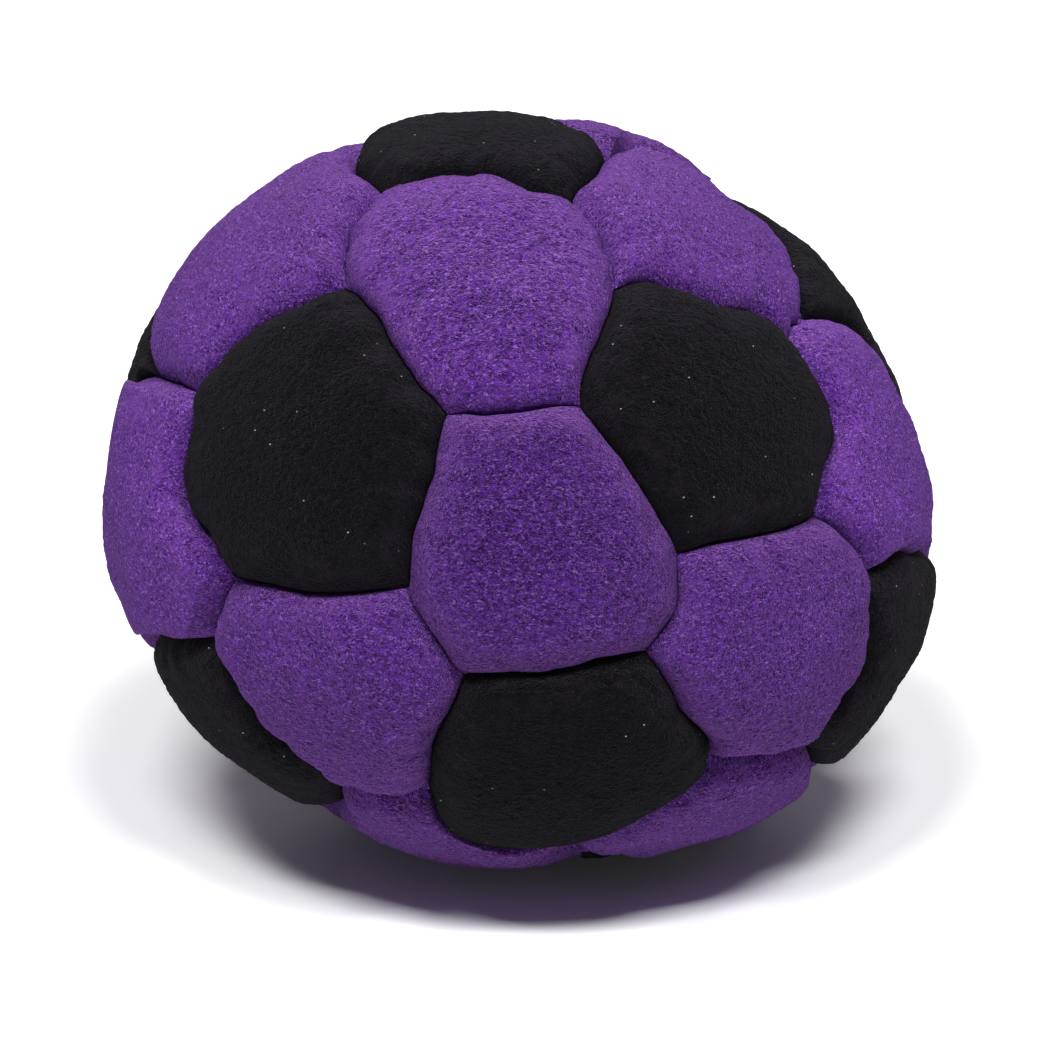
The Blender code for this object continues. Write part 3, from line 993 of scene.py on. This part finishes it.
def panel_shell(panel, outer_fan, inner_fan):
    """Points and triangles of a panel: outer face, turned-in edge, its end, inner face."""
    # Outer face
    roll_rings = ROLL_RINGS * OUTER_RINGS // FINE_RINGS
    shares = ring_shares(panel, OUTER_RINGS, roll_rings)[outer_fan["ring"]]
    flat, drawn = lay_out(panel, outer_fan, shares, HALF_GAP)
    height, rim = panel_heights(panel, flat)
    face = raised(drawn, height)
    for number, (cell, depth) in enumerate(DENT_SIZES):
        height = height + depth * lattice_noise(face, cell, DENT_SEED + number) * (1 - rim)
    for number, (cell, depth) in enumerate(NAP_RELIEF):
        height = height + depth * lattice_noise(face, cell, NAP_SEED + number)
    points = [raised(drawn, height) + cloth_move(panel, flat) * (1 - rim[:, None])]
    rims = [rim]

    # Turned-in edge, straight down from the rim
    loop = len(drawn) - outer_fan["rim"] + np.arange(outer_fan["rim"])
    edge = drawn[loop]
    triangles = [outer_fan["triangles"]]
    loops = [loop]
    for row in range(1, FLANGE_ROWS + 1):
        depth = height[loop] + (-SEAM_ALLOWANCE - height[loop]) * row / FLANGE_ROWS
        loops.append(sum(map(len, points)) + np.arange(len(loop)))
        points.append(raised(edge, depth))
        rims.append(np.ones(len(loop)))

    # Inner face, from the end of the turned-in edge back to the middle
    inner_shares = np.linspace(0, 1, INNER_RINGS + 1)[inner_fan["ring"]]
    inset = HALF_GAP + SUEDE_THICKNESS
    inner_drawn = lay_out(panel, inner_fan, inner_shares, inset)[1]
    ceiling = panel["crown"] - SUEDE_THICKNESS - INNER_FALL * inner_shares ** 2
    inner_loop_local = len(inner_drawn) - inner_fan["rim"] + np.arange(inner_fan["rim"])
    offset = sum(map(len, points))
    points.append(raised(inner_drawn, ceiling))
    rims.append(np.ones(len(inner_drawn)))
    triangles.append(inner_fan["triangles"][:, ::-1] + offset)
    inner_top = inner_loop_local + offset
    inner_end = sum(map(len, points)) + np.arange(len(inner_top))
    points.append(raised(inner_drawn[inner_loop_local], np.full(len(inner_top), -SEAM_ALLOWANCE)))
    rims.append(np.ones(len(inner_top)))

    for upper, lower in zip(loops[:-1], loops[1:]):
        triangles.append(loop_strip(upper, lower))
    triangles.append(loop_strip(loops[-1], inner_end))
    triangles.append(loop_strip(inner_end, inner_top))
    points = np.concatenate(points)
    points[:, 2] = np.maximum(points[:, 2], 0)
    return points, np.concatenate(triangles), np.concatenate(rims)


print("a suede", 1000 * SUEDE_THICKNESS, "mm thick,", 1000 * SEAM_ALLOWANCE, "mm of it turned in")


# %% Values for the materials
def keep_value(mesh, name, values):
    """Keep one number for each vertex, which a material can read by its name."""
    mesh.attributes.new(name, "FLOAT", "POINT").data.foreach_set("value", values.astype(np.float32))


def keep_vectors(mesh, name, vectors):
    """Keep one vector for each vertex, which a material can read by its name."""
    kept = mesh.attributes.new(name, "FLOAT_VECTOR", "POINT")
    kept.data.foreach_set("vector", vectors.astype(np.float32).ravel())


print("a mesh keeps numbers and vectors for its material")

# %% [markdown]
# The nap of each panel was brushed in its own direction, because the panels were cut from the
# suede in any direction that saved waste. So each point of a panel also keeps its place in the
# nap, and the material's patterns follow that place and not the object's axes.

# %% The direction of the nap
NAP_DRAWS = np.random.default_rng(SEED + 2)
NAP_TURN = math.radians(15)
NAP_STRETCH = (0.78, 1.12, 1.0)
NAP_SHIFT = 0.05


def nap_places(panel, number, points):
    """Where each point lies in the nap of its own panel: along the brushing, across it and out,
    with the first stretched and the second squeezed, and a different piece of it per panel."""
    middle = unit(CORNERS[panel["corners"]].mean(0))
    out = outward(middle)
    level = unit(np.cross((0, 0, 1), out))
    turn = NAP_DRAWS.uniform(-NAP_TURN, NAP_TURN)
    along = level * math.cos(turn) + np.cross(out, level) * math.sin(turn)
    axes = np.array([along, np.cross(out, along), out])
    return points @ axes.T * NAP_STRETCH + NAP_SHIFT * number


def add_piece(name, mesh, material, node):
    """A finished piece that rides on the bag, stands for its CAD node and has its slot."""
    mesh.materials.append(material)
    piece = bpy.data.objects.new(name, mesh)
    bpy.context.scene.collection.objects.link(piece)
    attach(piece, "root")
    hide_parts(node)
    return piece


print("the nap is turned by up to", round(math.degrees(NAP_TURN)), "degrees either way")

# %% [markdown]
# ## Suede
#
# Suede is cloth or leather whose surface is brushed up into a nap of very short fibres. Close
# to, it is a crowd of dark pits and light tufts a fifth of a millimetre across, with a lighter
# fleck here and there. From further off the brushing shows as soft patches, and where the nap
# is seen from the side its fibre tips catch the light, which the shader's sheen stands for.
# Both colours of suede share one node group, so that the nap is described once.

# %% The values of the nap
NAP_SOCKETS = {
    "Place": "Vector", "Pit Colour": "Color", "Tuft Colour": "Color", "Fleck Colour": "Color",
    "Fleck Level": "Float", "Lint Colour": "Color", "Lint Share": "Float", "Tone And Painted Light": "Float",
    "Rim": "Float", "Worn And Highlight Colour": "Color",
}

# Each pattern: the size of its patches, its detail, the levels that become 0 and 1, and how much
# it counts in the nap's lightness
TUFTS = (0.00026, 2.0, 0.40, 0.60, 0.55)
FIBRES = (0.00011, 1.0, 0.32, 0.68, 0.40)
PATCHES = (0.0021, 2.0, 0.3, 0.7, 0.11)
BRUSHING = (0.0085, 1.0, 0.3, 0.7, 0.08)
TUFT_ROUGHNESS = 0.65
TUFT_DISTORTION = 0.8
SHADE_MIDDLE = 0.09
PIT_DEPTH_POWER = 1.3
STREAK_SIZE = 0.00022
STREAK_LOOKS = {"detail": 1.5, "distortion": 1.2}
STREAK_STRETCH = (1.15, 1.45, 1.3)
STREAK_SOFTNESS = 0.06
LINT_SPACING = 0.0011
LINT_EDGE = (0.060, 0.030)
RIDGE_FROM_MIDDLE = (0.20, 0.50)
RIDGE_FROM_SEAM = (0.95, 0.70)
# Wear and painted highlight on the rolled edges: the size of its patches, the levels that become 0
# and 1, and its share
WEAR_AND_HIGHLIGHT_SIZE = 0.0012
WEAR_AND_HIGHLIGHT_LEVELS = (0.42, 0.66)
WEAR_AND_HIGHLIGHT_SHARE = 0.45
print("tufts", 1000 * TUFTS[0], "mm across, lint", 1000 * LINT_SPACING, "mm apart")


# %% The nap as a node group
def nap_pattern(group, place, pattern, clamp=True, **looks):
    """One noise pattern of the nap, stretched between its levels, and its share of the whole."""
    size, detail, low, high, share = pattern
    drawn = stretched(group, noise(group, place, size, detail, **looks), low, high, clamp)
    return calculate(group, "MULTIPLY", drawn, share)


def make_nap_group():
    """Colour and relief of brushed suede from a place on it."""
    group = bpy.data.node_groups.new("suede_nap", "ShaderNodeTree")
    for name, kind in NAP_SOCKETS.items():
        group.interface.new_socket(name, in_out="INPUT", socket_type="NodeSocket" + kind)
    for name, kind in {"Colour": "Color", "Relief": "Float"}.items():
        group.interface.new_socket(name, in_out="OUTPUT", socket_type="NodeSocket" + kind)
    given = group.nodes.new("NodeGroupInput").outputs
    place = given["Place"]

    # Tufts and pits, their finer edge, and the soft patches that brushing leaves
    tufts = nap_pattern(
        group, place, TUFTS, roughness=TUFT_ROUGHNESS, distortion=TUFT_DISTORTION)
    nap = calculate(group, "ADD", tufts, nap_pattern(group, place, FIBRES))
    shade = calculate(group, "ADD", nap_pattern(group, place, PATCHES, clamp=False),
                      nap_pattern(group, place, BRUSHING, clamp=False))
    light = calculate(group, "ADD", nap, calculate(group, "SUBTRACT", shade, SHADE_MIDDLE))
    light = calculate(group, "POWER", calculate(group, "MAXIMUM", light, 0.0), PIT_DEPTH_POWER)

    # Flecks: short streaks of brighter fibres along the brushing
    streaked = add_node(group, "VectorMath", {0: place, 1: STREAK_STRETCH}, operation="MULTIPLY")
    streaks = noise(group, streaked.outputs["Vector"], STREAK_SIZE, **STREAK_LOOKS)
    past = calculate(group, "SUBTRACT", streaks, given["Fleck Level"])
    flecks = stretched(group, past, 0.0, STREAK_SOFTNESS)

    # Lint: rare pale specks
    cells = add_node(group, "TexVoronoi", {"Vector": place, "Scale": 1 / LINT_SPACING})
    near = stretched(group, cells.outputs["Distance"], *LINT_EDGE)
    lot = add_node(group, "SeparateColor", {"Color": cells.outputs["Color"]}).outputs["Red"]
    lint = calculate(
        group, "MULTIPLY", near, calculate(group, "LESS_THAN", lot, given["Lint Share"]))

    # Wear and painted highlight: where the rolled edge stands proud, the nap is made paler in
    # patches, partly as rubbed wear and partly as painted light along the edges
    ridge = calculate(group, "MULTIPLY", stretched(group, given["Rim"], *RIDGE_FROM_MIDDLE),
                      stretched(group, given["Rim"], *RIDGE_FROM_SEAM))
    rubbed_and_lit_patches = stretched(group, noise(group, place, WEAR_AND_HIGHLIGHT_SIZE, 3.0), *WEAR_AND_HIGHLIGHT_LEVELS)
    worn_and_highlight = calculate(group, "MULTIPLY", calculate(group, "MULTIPLY", ridge, rubbed_and_lit_patches), WEAR_AND_HIGHLIGHT_SHARE)

    colour = mixed(group, light, given["Pit Colour"], given["Tuft Colour"])
    colour = mixed(group, flecks, colour, given["Fleck Colour"])
    colour = mixed(group, worn_and_highlight, colour, given["Worn And Highlight Colour"])
    # Tone: each panel's random tone, with painted light on some panels and painted shade on others
    colour = add_node(
        group, "VectorMath", {0: colour, "Scale": given["Tone And Painted Light"]}, operation="SCALE"
    ).outputs["Vector"]
    colour = mixed(group, lint, colour, given["Lint Colour"])
    give(group, group.nodes.new("NodeGroupOutput"), {
        "Colour": colour, "Relief": calculate(group, "ADD", nap, flecks)})
    return group


NAP = make_nap_group()
print("nap group:", len(NAP.nodes), "nodes")

# %% The two suedes
SUEDES = {
    "purple": {
        "Pit Colour": (0.014, 0.0028, 0.042, 1.0),
        "Tuft Colour": (0.172, 0.034, 0.445, 1.0),
        "Fleck Colour": (0.33, 0.14, 0.62, 1.0),
        "Fleck Level": 0.58,
        "Lint Colour": (0.55, 0.45, 0.65, 1.0),
        "Lint Share": 0.12,
        # The paler rolled edge: wear and painted highlight
        "Worn And Highlight Colour": (0.175, 0.052, 0.345, 1.0),
        "sheen": (0.50, 0.35, (0.72, 0.34, 0.98, 1.0)),
    },
    "black": {
        "Pit Colour": (0.0015, 0.0014, 0.0019, 1.0),
        "Tuft Colour": (0.0080, 0.0066, 0.0098, 1.0),
        "Fleck Colour": (0.022, 0.021, 0.024, 1.0),
        "Fleck Level": 0.66,
        "Lint Colour": (0.55, 0.56, 0.50, 1.0),
        # The paler rolled edge: wear and painted highlight
        "Lint Share": 0.55,
        "Worn And Highlight Colour": (0.016, 0.014, 0.018, 1.0),
        "sheen": (0.05, 0.45, (0.80, 0.75, 0.88, 1.0)),
    },
}
SUEDE_ROUGHNESS = 0.95
SUEDE_GLOSS = 0.05
NAP_DEPTH = 0.00028


def make_suede(colour):
    """A suede material: the nap group in its own colours, with its relief as a bump."""
    settings = dict(SUEDES[colour])
    weight, roughness, tint = settings.pop("sheen")
    material, tree, shader = new_material(colour + "_suede")
    nap = add_node(tree, "Group", node_tree=NAP)
    give(tree, nap, settings)
    give(tree, nap, {
        "Place": attribute(tree, "nap_place", "Vector"),
        "Tone And Painted Light": attribute(tree, "tone_and_painted_light"),
        "Rim": attribute(tree, "rim"),
    })
    bump = add_node(tree, "Bump", {"Height": nap.outputs["Relief"], "Distance": NAP_DEPTH})
    give(tree, shader, {
        "Base Color": nap.outputs["Colour"],
        "Roughness": SUEDE_ROUGHNESS,
        "Specular IOR Level": SUEDE_GLOSS,
        "Sheen Weight": weight,
        "Sheen Roughness": roughness,
        "Sheen Tint": tint,
        "Normal": bump.outputs["Normal"],
    })
    return material


MATERIALS = {colour: make_suede(colour) for colour in SUEDES}
print("suedes:", ", ".join(material.name for material in MATERIALS.values()))

# %% [markdown]
# The panels were cut from different places of the suede, so each one is a little lighter or darker
# than the next. A few that lean towards a lamp or away from it get a tone that makes them as light
# as in the picture: that tone is painted light on the top and side panels and painted shade on the
# front ones.

# %% Build all the panels
TONE_SPREAD = 0.05
# Painted light and painted shade: these panels' colours are scaled lighter or darker for how the
# light falls on them; every other panel gets a small random tone
PAINTED_LIGHT_TONES = {"purple upper_1": 0.84, "purple top_1": 1.26, "purple lower_5": 0.96,
         "purple lower_1": 0.96, "purple upper_5": 1.34, "purple top_5": 1.24,
         "purple top_2": 1.22, "purple upper_2": 1.50, "black lower_5": 1.45,
         "black lower_2": 1.45}

outer_fans, inner_fans = make_fans(OUTER_RINGS), make_fans(INNER_RINGS)
triangle_count = 0
for number, panel in enumerate(PANELS):
    sides = len(panel["corners"])
    points, triangles, rims = panel_shell(panel, outer_fans[sides], inner_fans[sides])
    mesh = mesh_from_arrays(panel["name"], points, triangles)
    tone_and_painted_light = PAINTED_LIGHT_TONES.get(panel["title"], 1 + NAP_DRAWS.normal(0, TONE_SPREAD))
    keep_value(mesh, "tone_and_painted_light", np.full(len(points), tone_and_painted_light))
    keep_value(mesh, "rim", rims)
    keep_vectors(mesh, "nap_place", nap_places(panel, number, points))
    piece = add_piece(
        "soft_" + panel["name"], mesh, MATERIALS[panel["colour"]],
        panel["name"])
    triangle_count += len(triangles)
print(len(PANELS), "panels,", triangle_count, "triangles")

# %% [markdown]
# ## The thread
#
# A hand sewer works with lengths of waxed polyester thread, three strands twisted together. One
# length goes round each black panel, and at every corner it also runs half way out along the
# purple seam that starts there and back. It lies just under the turned-in edges, where nothing
# but a cut would show it. Its path comes from the same corners as the panels, rounded at the
# turns as a thread is, and its section is a three-lobed circle that turns along the path.

# %% The path of a thread
CLEARANCE = 0.0003
THREAD_RADIUS = 0.0002
THREAD_DEPTH = SEAM_ALLOWANCE + CLEARANCE + THREAD_RADIUS
STRAND_SPACING = 0.0008
THREAD_END_GAP = 0.00015
THREAD_STEP = 0.00011
THREAD_ROUNDING = 0.00018
ROUNDING_STEPS = 6


def thread_line(first, last, shares):
    """Points under a seam at these shares of the way between two corners."""
    shares = np.asarray(shares, float)[:, None]
    return raised(first + (last - first) * shares, np.full(len(shares), -THREAD_DEPTH))


def thread_arm(near, far):
    """Out along one side of a purple seam to its middle, across, and back on the other side."""
    start, end = thread_line(near, far, (0.0, 0.5))
    ahead = unit(end - start)
    aside = unit(np.cross(ahead, outward(near))) * STRAND_SPACING / 2
    root = start + ahead * STRAND_SPACING / 2
    tip = end - ahead * (THREAD_RADIUS + THREAD_END_GAP)
    return np.array([root - aside, tip - aside, tip + aside, root + aside])


def thread_route(panel, neighbours):
    """The closed route round a black panel with its arms."""
    ring, route = panel["corners"], []
    for corner, following in zip(ring, ring[1:] + ring[:1]):
        outer, = neighbours[corner] - set(ring)
        route.append(thread_arm(CORNERS[corner], CORNERS[outer]))
        route.append(thread_line(CORNERS[corner], CORNERS[following], (1 / 3, 2 / 3)))
    return np.concatenate(route)


def evenly_rounded(route):
    """The route as even small steps, each point averaged with its neighbours in a bell curve."""
    closed = np.concatenate([route, route[:1]])
    way = np.append(0, np.cumsum(np.linalg.norm(np.diff(closed, axis=0), axis=1)))
    places = np.linspace(0, way[-1], round(way[-1] / THREAD_STEP), endpoint=False)
    fine = np.column_stack([np.interp(places, way, closed[:, axis]) for axis in range(3)])
    offsets = np.arange(-ROUNDING_STEPS, ROUNDING_STEPS + 1)
    weights = np.exp(-(offsets * THREAD_STEP / THREAD_ROUNDING) ** 2 / 2)
    return sum(w * np.roll(fine, k, 0) for k, w in zip(offsets, weights / weights.sum()))


NEIGHBOURS = {}
for first_corner, last_corner in SEAMS:
    NEIGHBOURS.setdefault(first_corner, set()).add(last_corner)
    NEIGHBOURS.setdefault(last_corner, set()).add(first_corner)
test_route = evenly_rounded(thread_route(PANELS[0], NEIGHBOURS))
print("a thread of", len(test_route), "steps,", round(len(test_route) * THREAD_STEP, 3), "m")


# %% Twist the thread round its path
STRANDS = 3
THREAD_TWIST_LENGTH = 0.0011
THREAD_SIDES = 12
LOBE_SHARE = 0.16


def thread_tube(path):
    """Points and triangles of a closed twisted tube, and how far each point is round a strand.
    Each section is a circle whose radius has three lobes, and the lobes turn by a whole number
    of turns on the way round."""
    ahead = unit(np.roll(path, -1, 0) - np.roll(path, 1, 0))
    above = unit(path - (0.0, 0.0, WAIST_HEIGHT))
    aside = unit(np.cross(ahead, above))
    above = np.cross(aside, ahead)
    turns = round(len(path) * THREAD_STEP / THREAD_TWIST_LENGTH)
    twist = np.linspace(0, math.tau * turns, len(path), endpoint=False)[:, None]
    angle = np.linspace(0, math.tau, THREAD_SIDES, endpoint=False)
    around = STRANDS * angle - twist
    radius = THREAD_RADIUS * (1 - LOBE_SHARE + LOBE_SHARE * np.cos(around))
    points = (path[:, None] + (np.cos(angle) * radius)[..., None] * aside[:, None]
              + (np.sin(angle) * radius)[..., None] * above[:, None])
    here = np.arange(len(path) * THREAD_SIDES).reshape(len(path), THREAD_SIDES)
    right, ahead_of = np.roll(here, -1, 1), np.roll(here, -1, 0)
    both = np.roll(right, -1, 0)
    triangles = np.concatenate([
        np.stack([here, right, both], -1).reshape(-1, 3),
        np.stack([here, both, ahead_of], -1).reshape(-1, 3)])
    return points.reshape(-1, 3), triangles, around.ravel()


# Painted shade: the thread is darker in the grooves between its strands
GROOVE_SHADE_COLOUR = (0.003, 0.003, 0.004, 1.0)
STRAND_COLOUR = (0.022, 0.020, 0.025, 1.0)
LOBE_SHADE_TONE = 0.7
FIBRE_TONE = 0.5
THREAD_FIBRE_SIZE = 0.00008
THREAD_FIBRE_DEPTH = 0.00002
THREAD_ROUGHNESS = 0.45


def make_thread_material():
    """Waxed black thread with painted shade in the grooves between its strands, and fine lint on
    them.
    """
    material, tree, shader = new_material("black_thread")
    place = add_node(tree, "TexCoord").outputs["Object"]
    fibre = noise(tree, place, THREAD_FIBRE_SIZE)
    # Painted shade in the grooves: the lobe mask and the fine fibres mix the groove colour into the
    # strand colour
    light = calculate(tree, "ADD", calculate(tree, "MULTIPLY", attribute(tree, "lobe_light_and_groove_shade"), LOBE_SHADE_TONE),
                      calculate(tree, "MULTIPLY", fibre, FIBRE_TONE))
    bump = add_node(tree, "Bump", {"Height": fibre, "Distance": THREAD_FIBRE_DEPTH})
    give(tree, shader, {
        "Base Color": mixed(tree, light, GROOVE_SHADE_COLOUR, STRAND_COLOUR),
        "Roughness": THREAD_ROUGHNESS,
        "Normal": bump.outputs["Normal"],
    })
    return material


thread_material = make_thread_material()
threaded = [panel for panel in PANELS if panel["colour"] == "black"]
for panel in threaded:
    path = evenly_rounded(thread_route(panel, NEIGHBOURS))
    points, triangles, around = thread_tube(path)
    mesh = mesh_from_arrays("thread_" + panel["place"], points, triangles)
    keep_value(mesh, "lobe_light_and_groove_shade", 0.5 + 0.5 * np.cos(around))
    add_piece("twisted_thread_" + panel["place"], mesh, thread_material,
              "thread_" + panel["place"])
print("threads:", len(threaded))

# %% [markdown]
# ## The pellets
#
# The bag is filled with plastic pellets about three millimetres across. They are one closed form
# here: the fans of all the panels, drawn in under the suede and joined along the seams, with a
# groove under each seam for the turned-in edges and the thread. The pellets that press against
# the skin show on it as round bumps. Each point is lowered by how far it lies from the nearest
# of a crowd of scattered pellet middles.

# %% The heap of pellets
FILLING_RINGS = 22
FILLING_BORDER_RINGS = 3
FILLING_INSET = 0.00155
FILLING_CROWN = 0.0001
FILLING_FALL = 0.00065
FILLING_GROOVE = 0.0026
FILLING_FLOOR = 0.0011
PELLET_SIZE = 0.0030
PELLET_RELIEF = 0.0007
PELLET_SCATTER = 0.36
SCATTER_SEED = 31
PELLET_SEED = 35


def nearest_pellet(points, cell):
    """Distance to the nearest pellet middle as a share of the cell, and that pellet's own
    number. Every cell of a cubic grid holds one middle at a random place in it."""
    spots = points / cell
    base = np.floor(spots).astype(np.int64)
    best, number = np.full(len(points), np.inf), np.zeros(len(points))
    for step in np.ndindex(3, 3, 3):
        grid = base + step - 1
        middle = grid + 0.5 + PELLET_SCATTER * np.column_stack([
            corner_numbers(grid, SCATTER_SEED + axis) for axis in range(3)])
        away = np.linalg.norm(spots - middle, axis=1)
        nearer = away < best
        best = np.where(nearer, away, best)
        number = np.where(nearer, corner_numbers(grid, PELLET_SEED), number)
    return best, number


def filling_patch(panel, fan):
    """One panel's part of the heap: a low dome inside, and a groove along its seams."""
    last = FILLING_RINGS + FILLING_BORDER_RINGS
    ring = fan["ring"]
    inside = np.clip(ring / FILLING_RINGS, 0, 1)
    inset = np.where(ring <= FILLING_RINGS + 1, FILLING_INSET,
                     FILLING_INSET * (last - ring) / (FILLING_BORDER_RINGS - 1))
    drawn = lay_out(panel, fan, inside, inset)[1]
    base = np.where(ring <= FILLING_RINGS, FILLING_CROWN - FILLING_FALL * inside ** 2,
                    -FILLING_GROOVE)
    surface = raised(drawn, base)
    away, number = nearest_pellet(surface, PELLET_SIZE)
    dip = np.where(ring <= FILLING_RINGS, PELLET_RELIEF * np.clip(away, 0, 1) ** 2, 0)
    return raised(drawn, base - dip), number, away


def build_filling():
    """All the patches with their shared seam points merged into one closed surface."""
    fans = make_fans(FILLING_RINGS + FILLING_BORDER_RINGS)
    patches = [filling_patch(panel, fans[len(panel["corners"])]) for panel in PANELS]
    points = np.concatenate([patch[0] for patch in patches])
    points[:, 2] = np.maximum(points[:, 2], FILLING_FLOOR)
    triangles = side_by_side(patches, fans)[0]
    first, number = merged(points)
    own, away = (np.concatenate([patch[part] for patch in patches])[first] for part in (1, 2))
    mesh = mesh_from_arrays("pellet_filling", points[first], number[triangles])
    keep_value(mesh, "pellet", own)
    keep_value(mesh, "away", away)
    return mesh


filling_mesh = build_filling()
print("the heap:", len(filling_mesh.polygons), "triangles")


# %% The pellets' plastic
PELLET_COLOURS = ((0.50, 0.48, 0.43, 1.0), (0.72, 0.71, 0.66, 1.0))
# Painted shade in the crevices between pellets, and the distances from a pellet's middle over which
# it darkens
CREVICE_SHADE_COLOUR = (0.16, 0.15, 0.13, 1.0)
CREVICE_SHADE_DISTANCES = (0.45, 0.85)
SCUFF_SIZE = 0.0006
SCUFF_DEPTH = 0.00003
PELLET_ROUGHNESS = (0.35, 0.6)


def make_pellet_material():
    """Translucent white plastic, each pellet a little different, with painted shade between the
    pellets.
    """
    material, tree, shader = new_material("pellets")
    own = stretched(tree, attribute(tree, "pellet"), -1.0, 1.0)
    crevice_shade = stretched(tree, attribute(tree, "away"), *CREVICE_SHADE_DISTANCES)
    place = add_node(tree, "TexCoord").outputs["Object"]
    scuff = noise(tree, place, SCUFF_SIZE, 3.0)
    bump = add_node(tree, "Bump", {"Height": scuff, "Distance": SCUFF_DEPTH})
    give(tree, shader, {
        "Base Color": mixed(tree, crevice_shade, mixed(tree, own, *PELLET_COLOURS), CREVICE_SHADE_COLOUR),
        "Roughness": spread(tree, scuff, *PELLET_ROUGHNESS),
        "Normal": bump.outputs["Normal"],
    })
    return material


add_piece("pellet_heap", filling_mesh, make_pellet_material(), "pellet_filling")
print("pieces:", len(PANELS), "panels,", len(threaded), "threads and the heap")
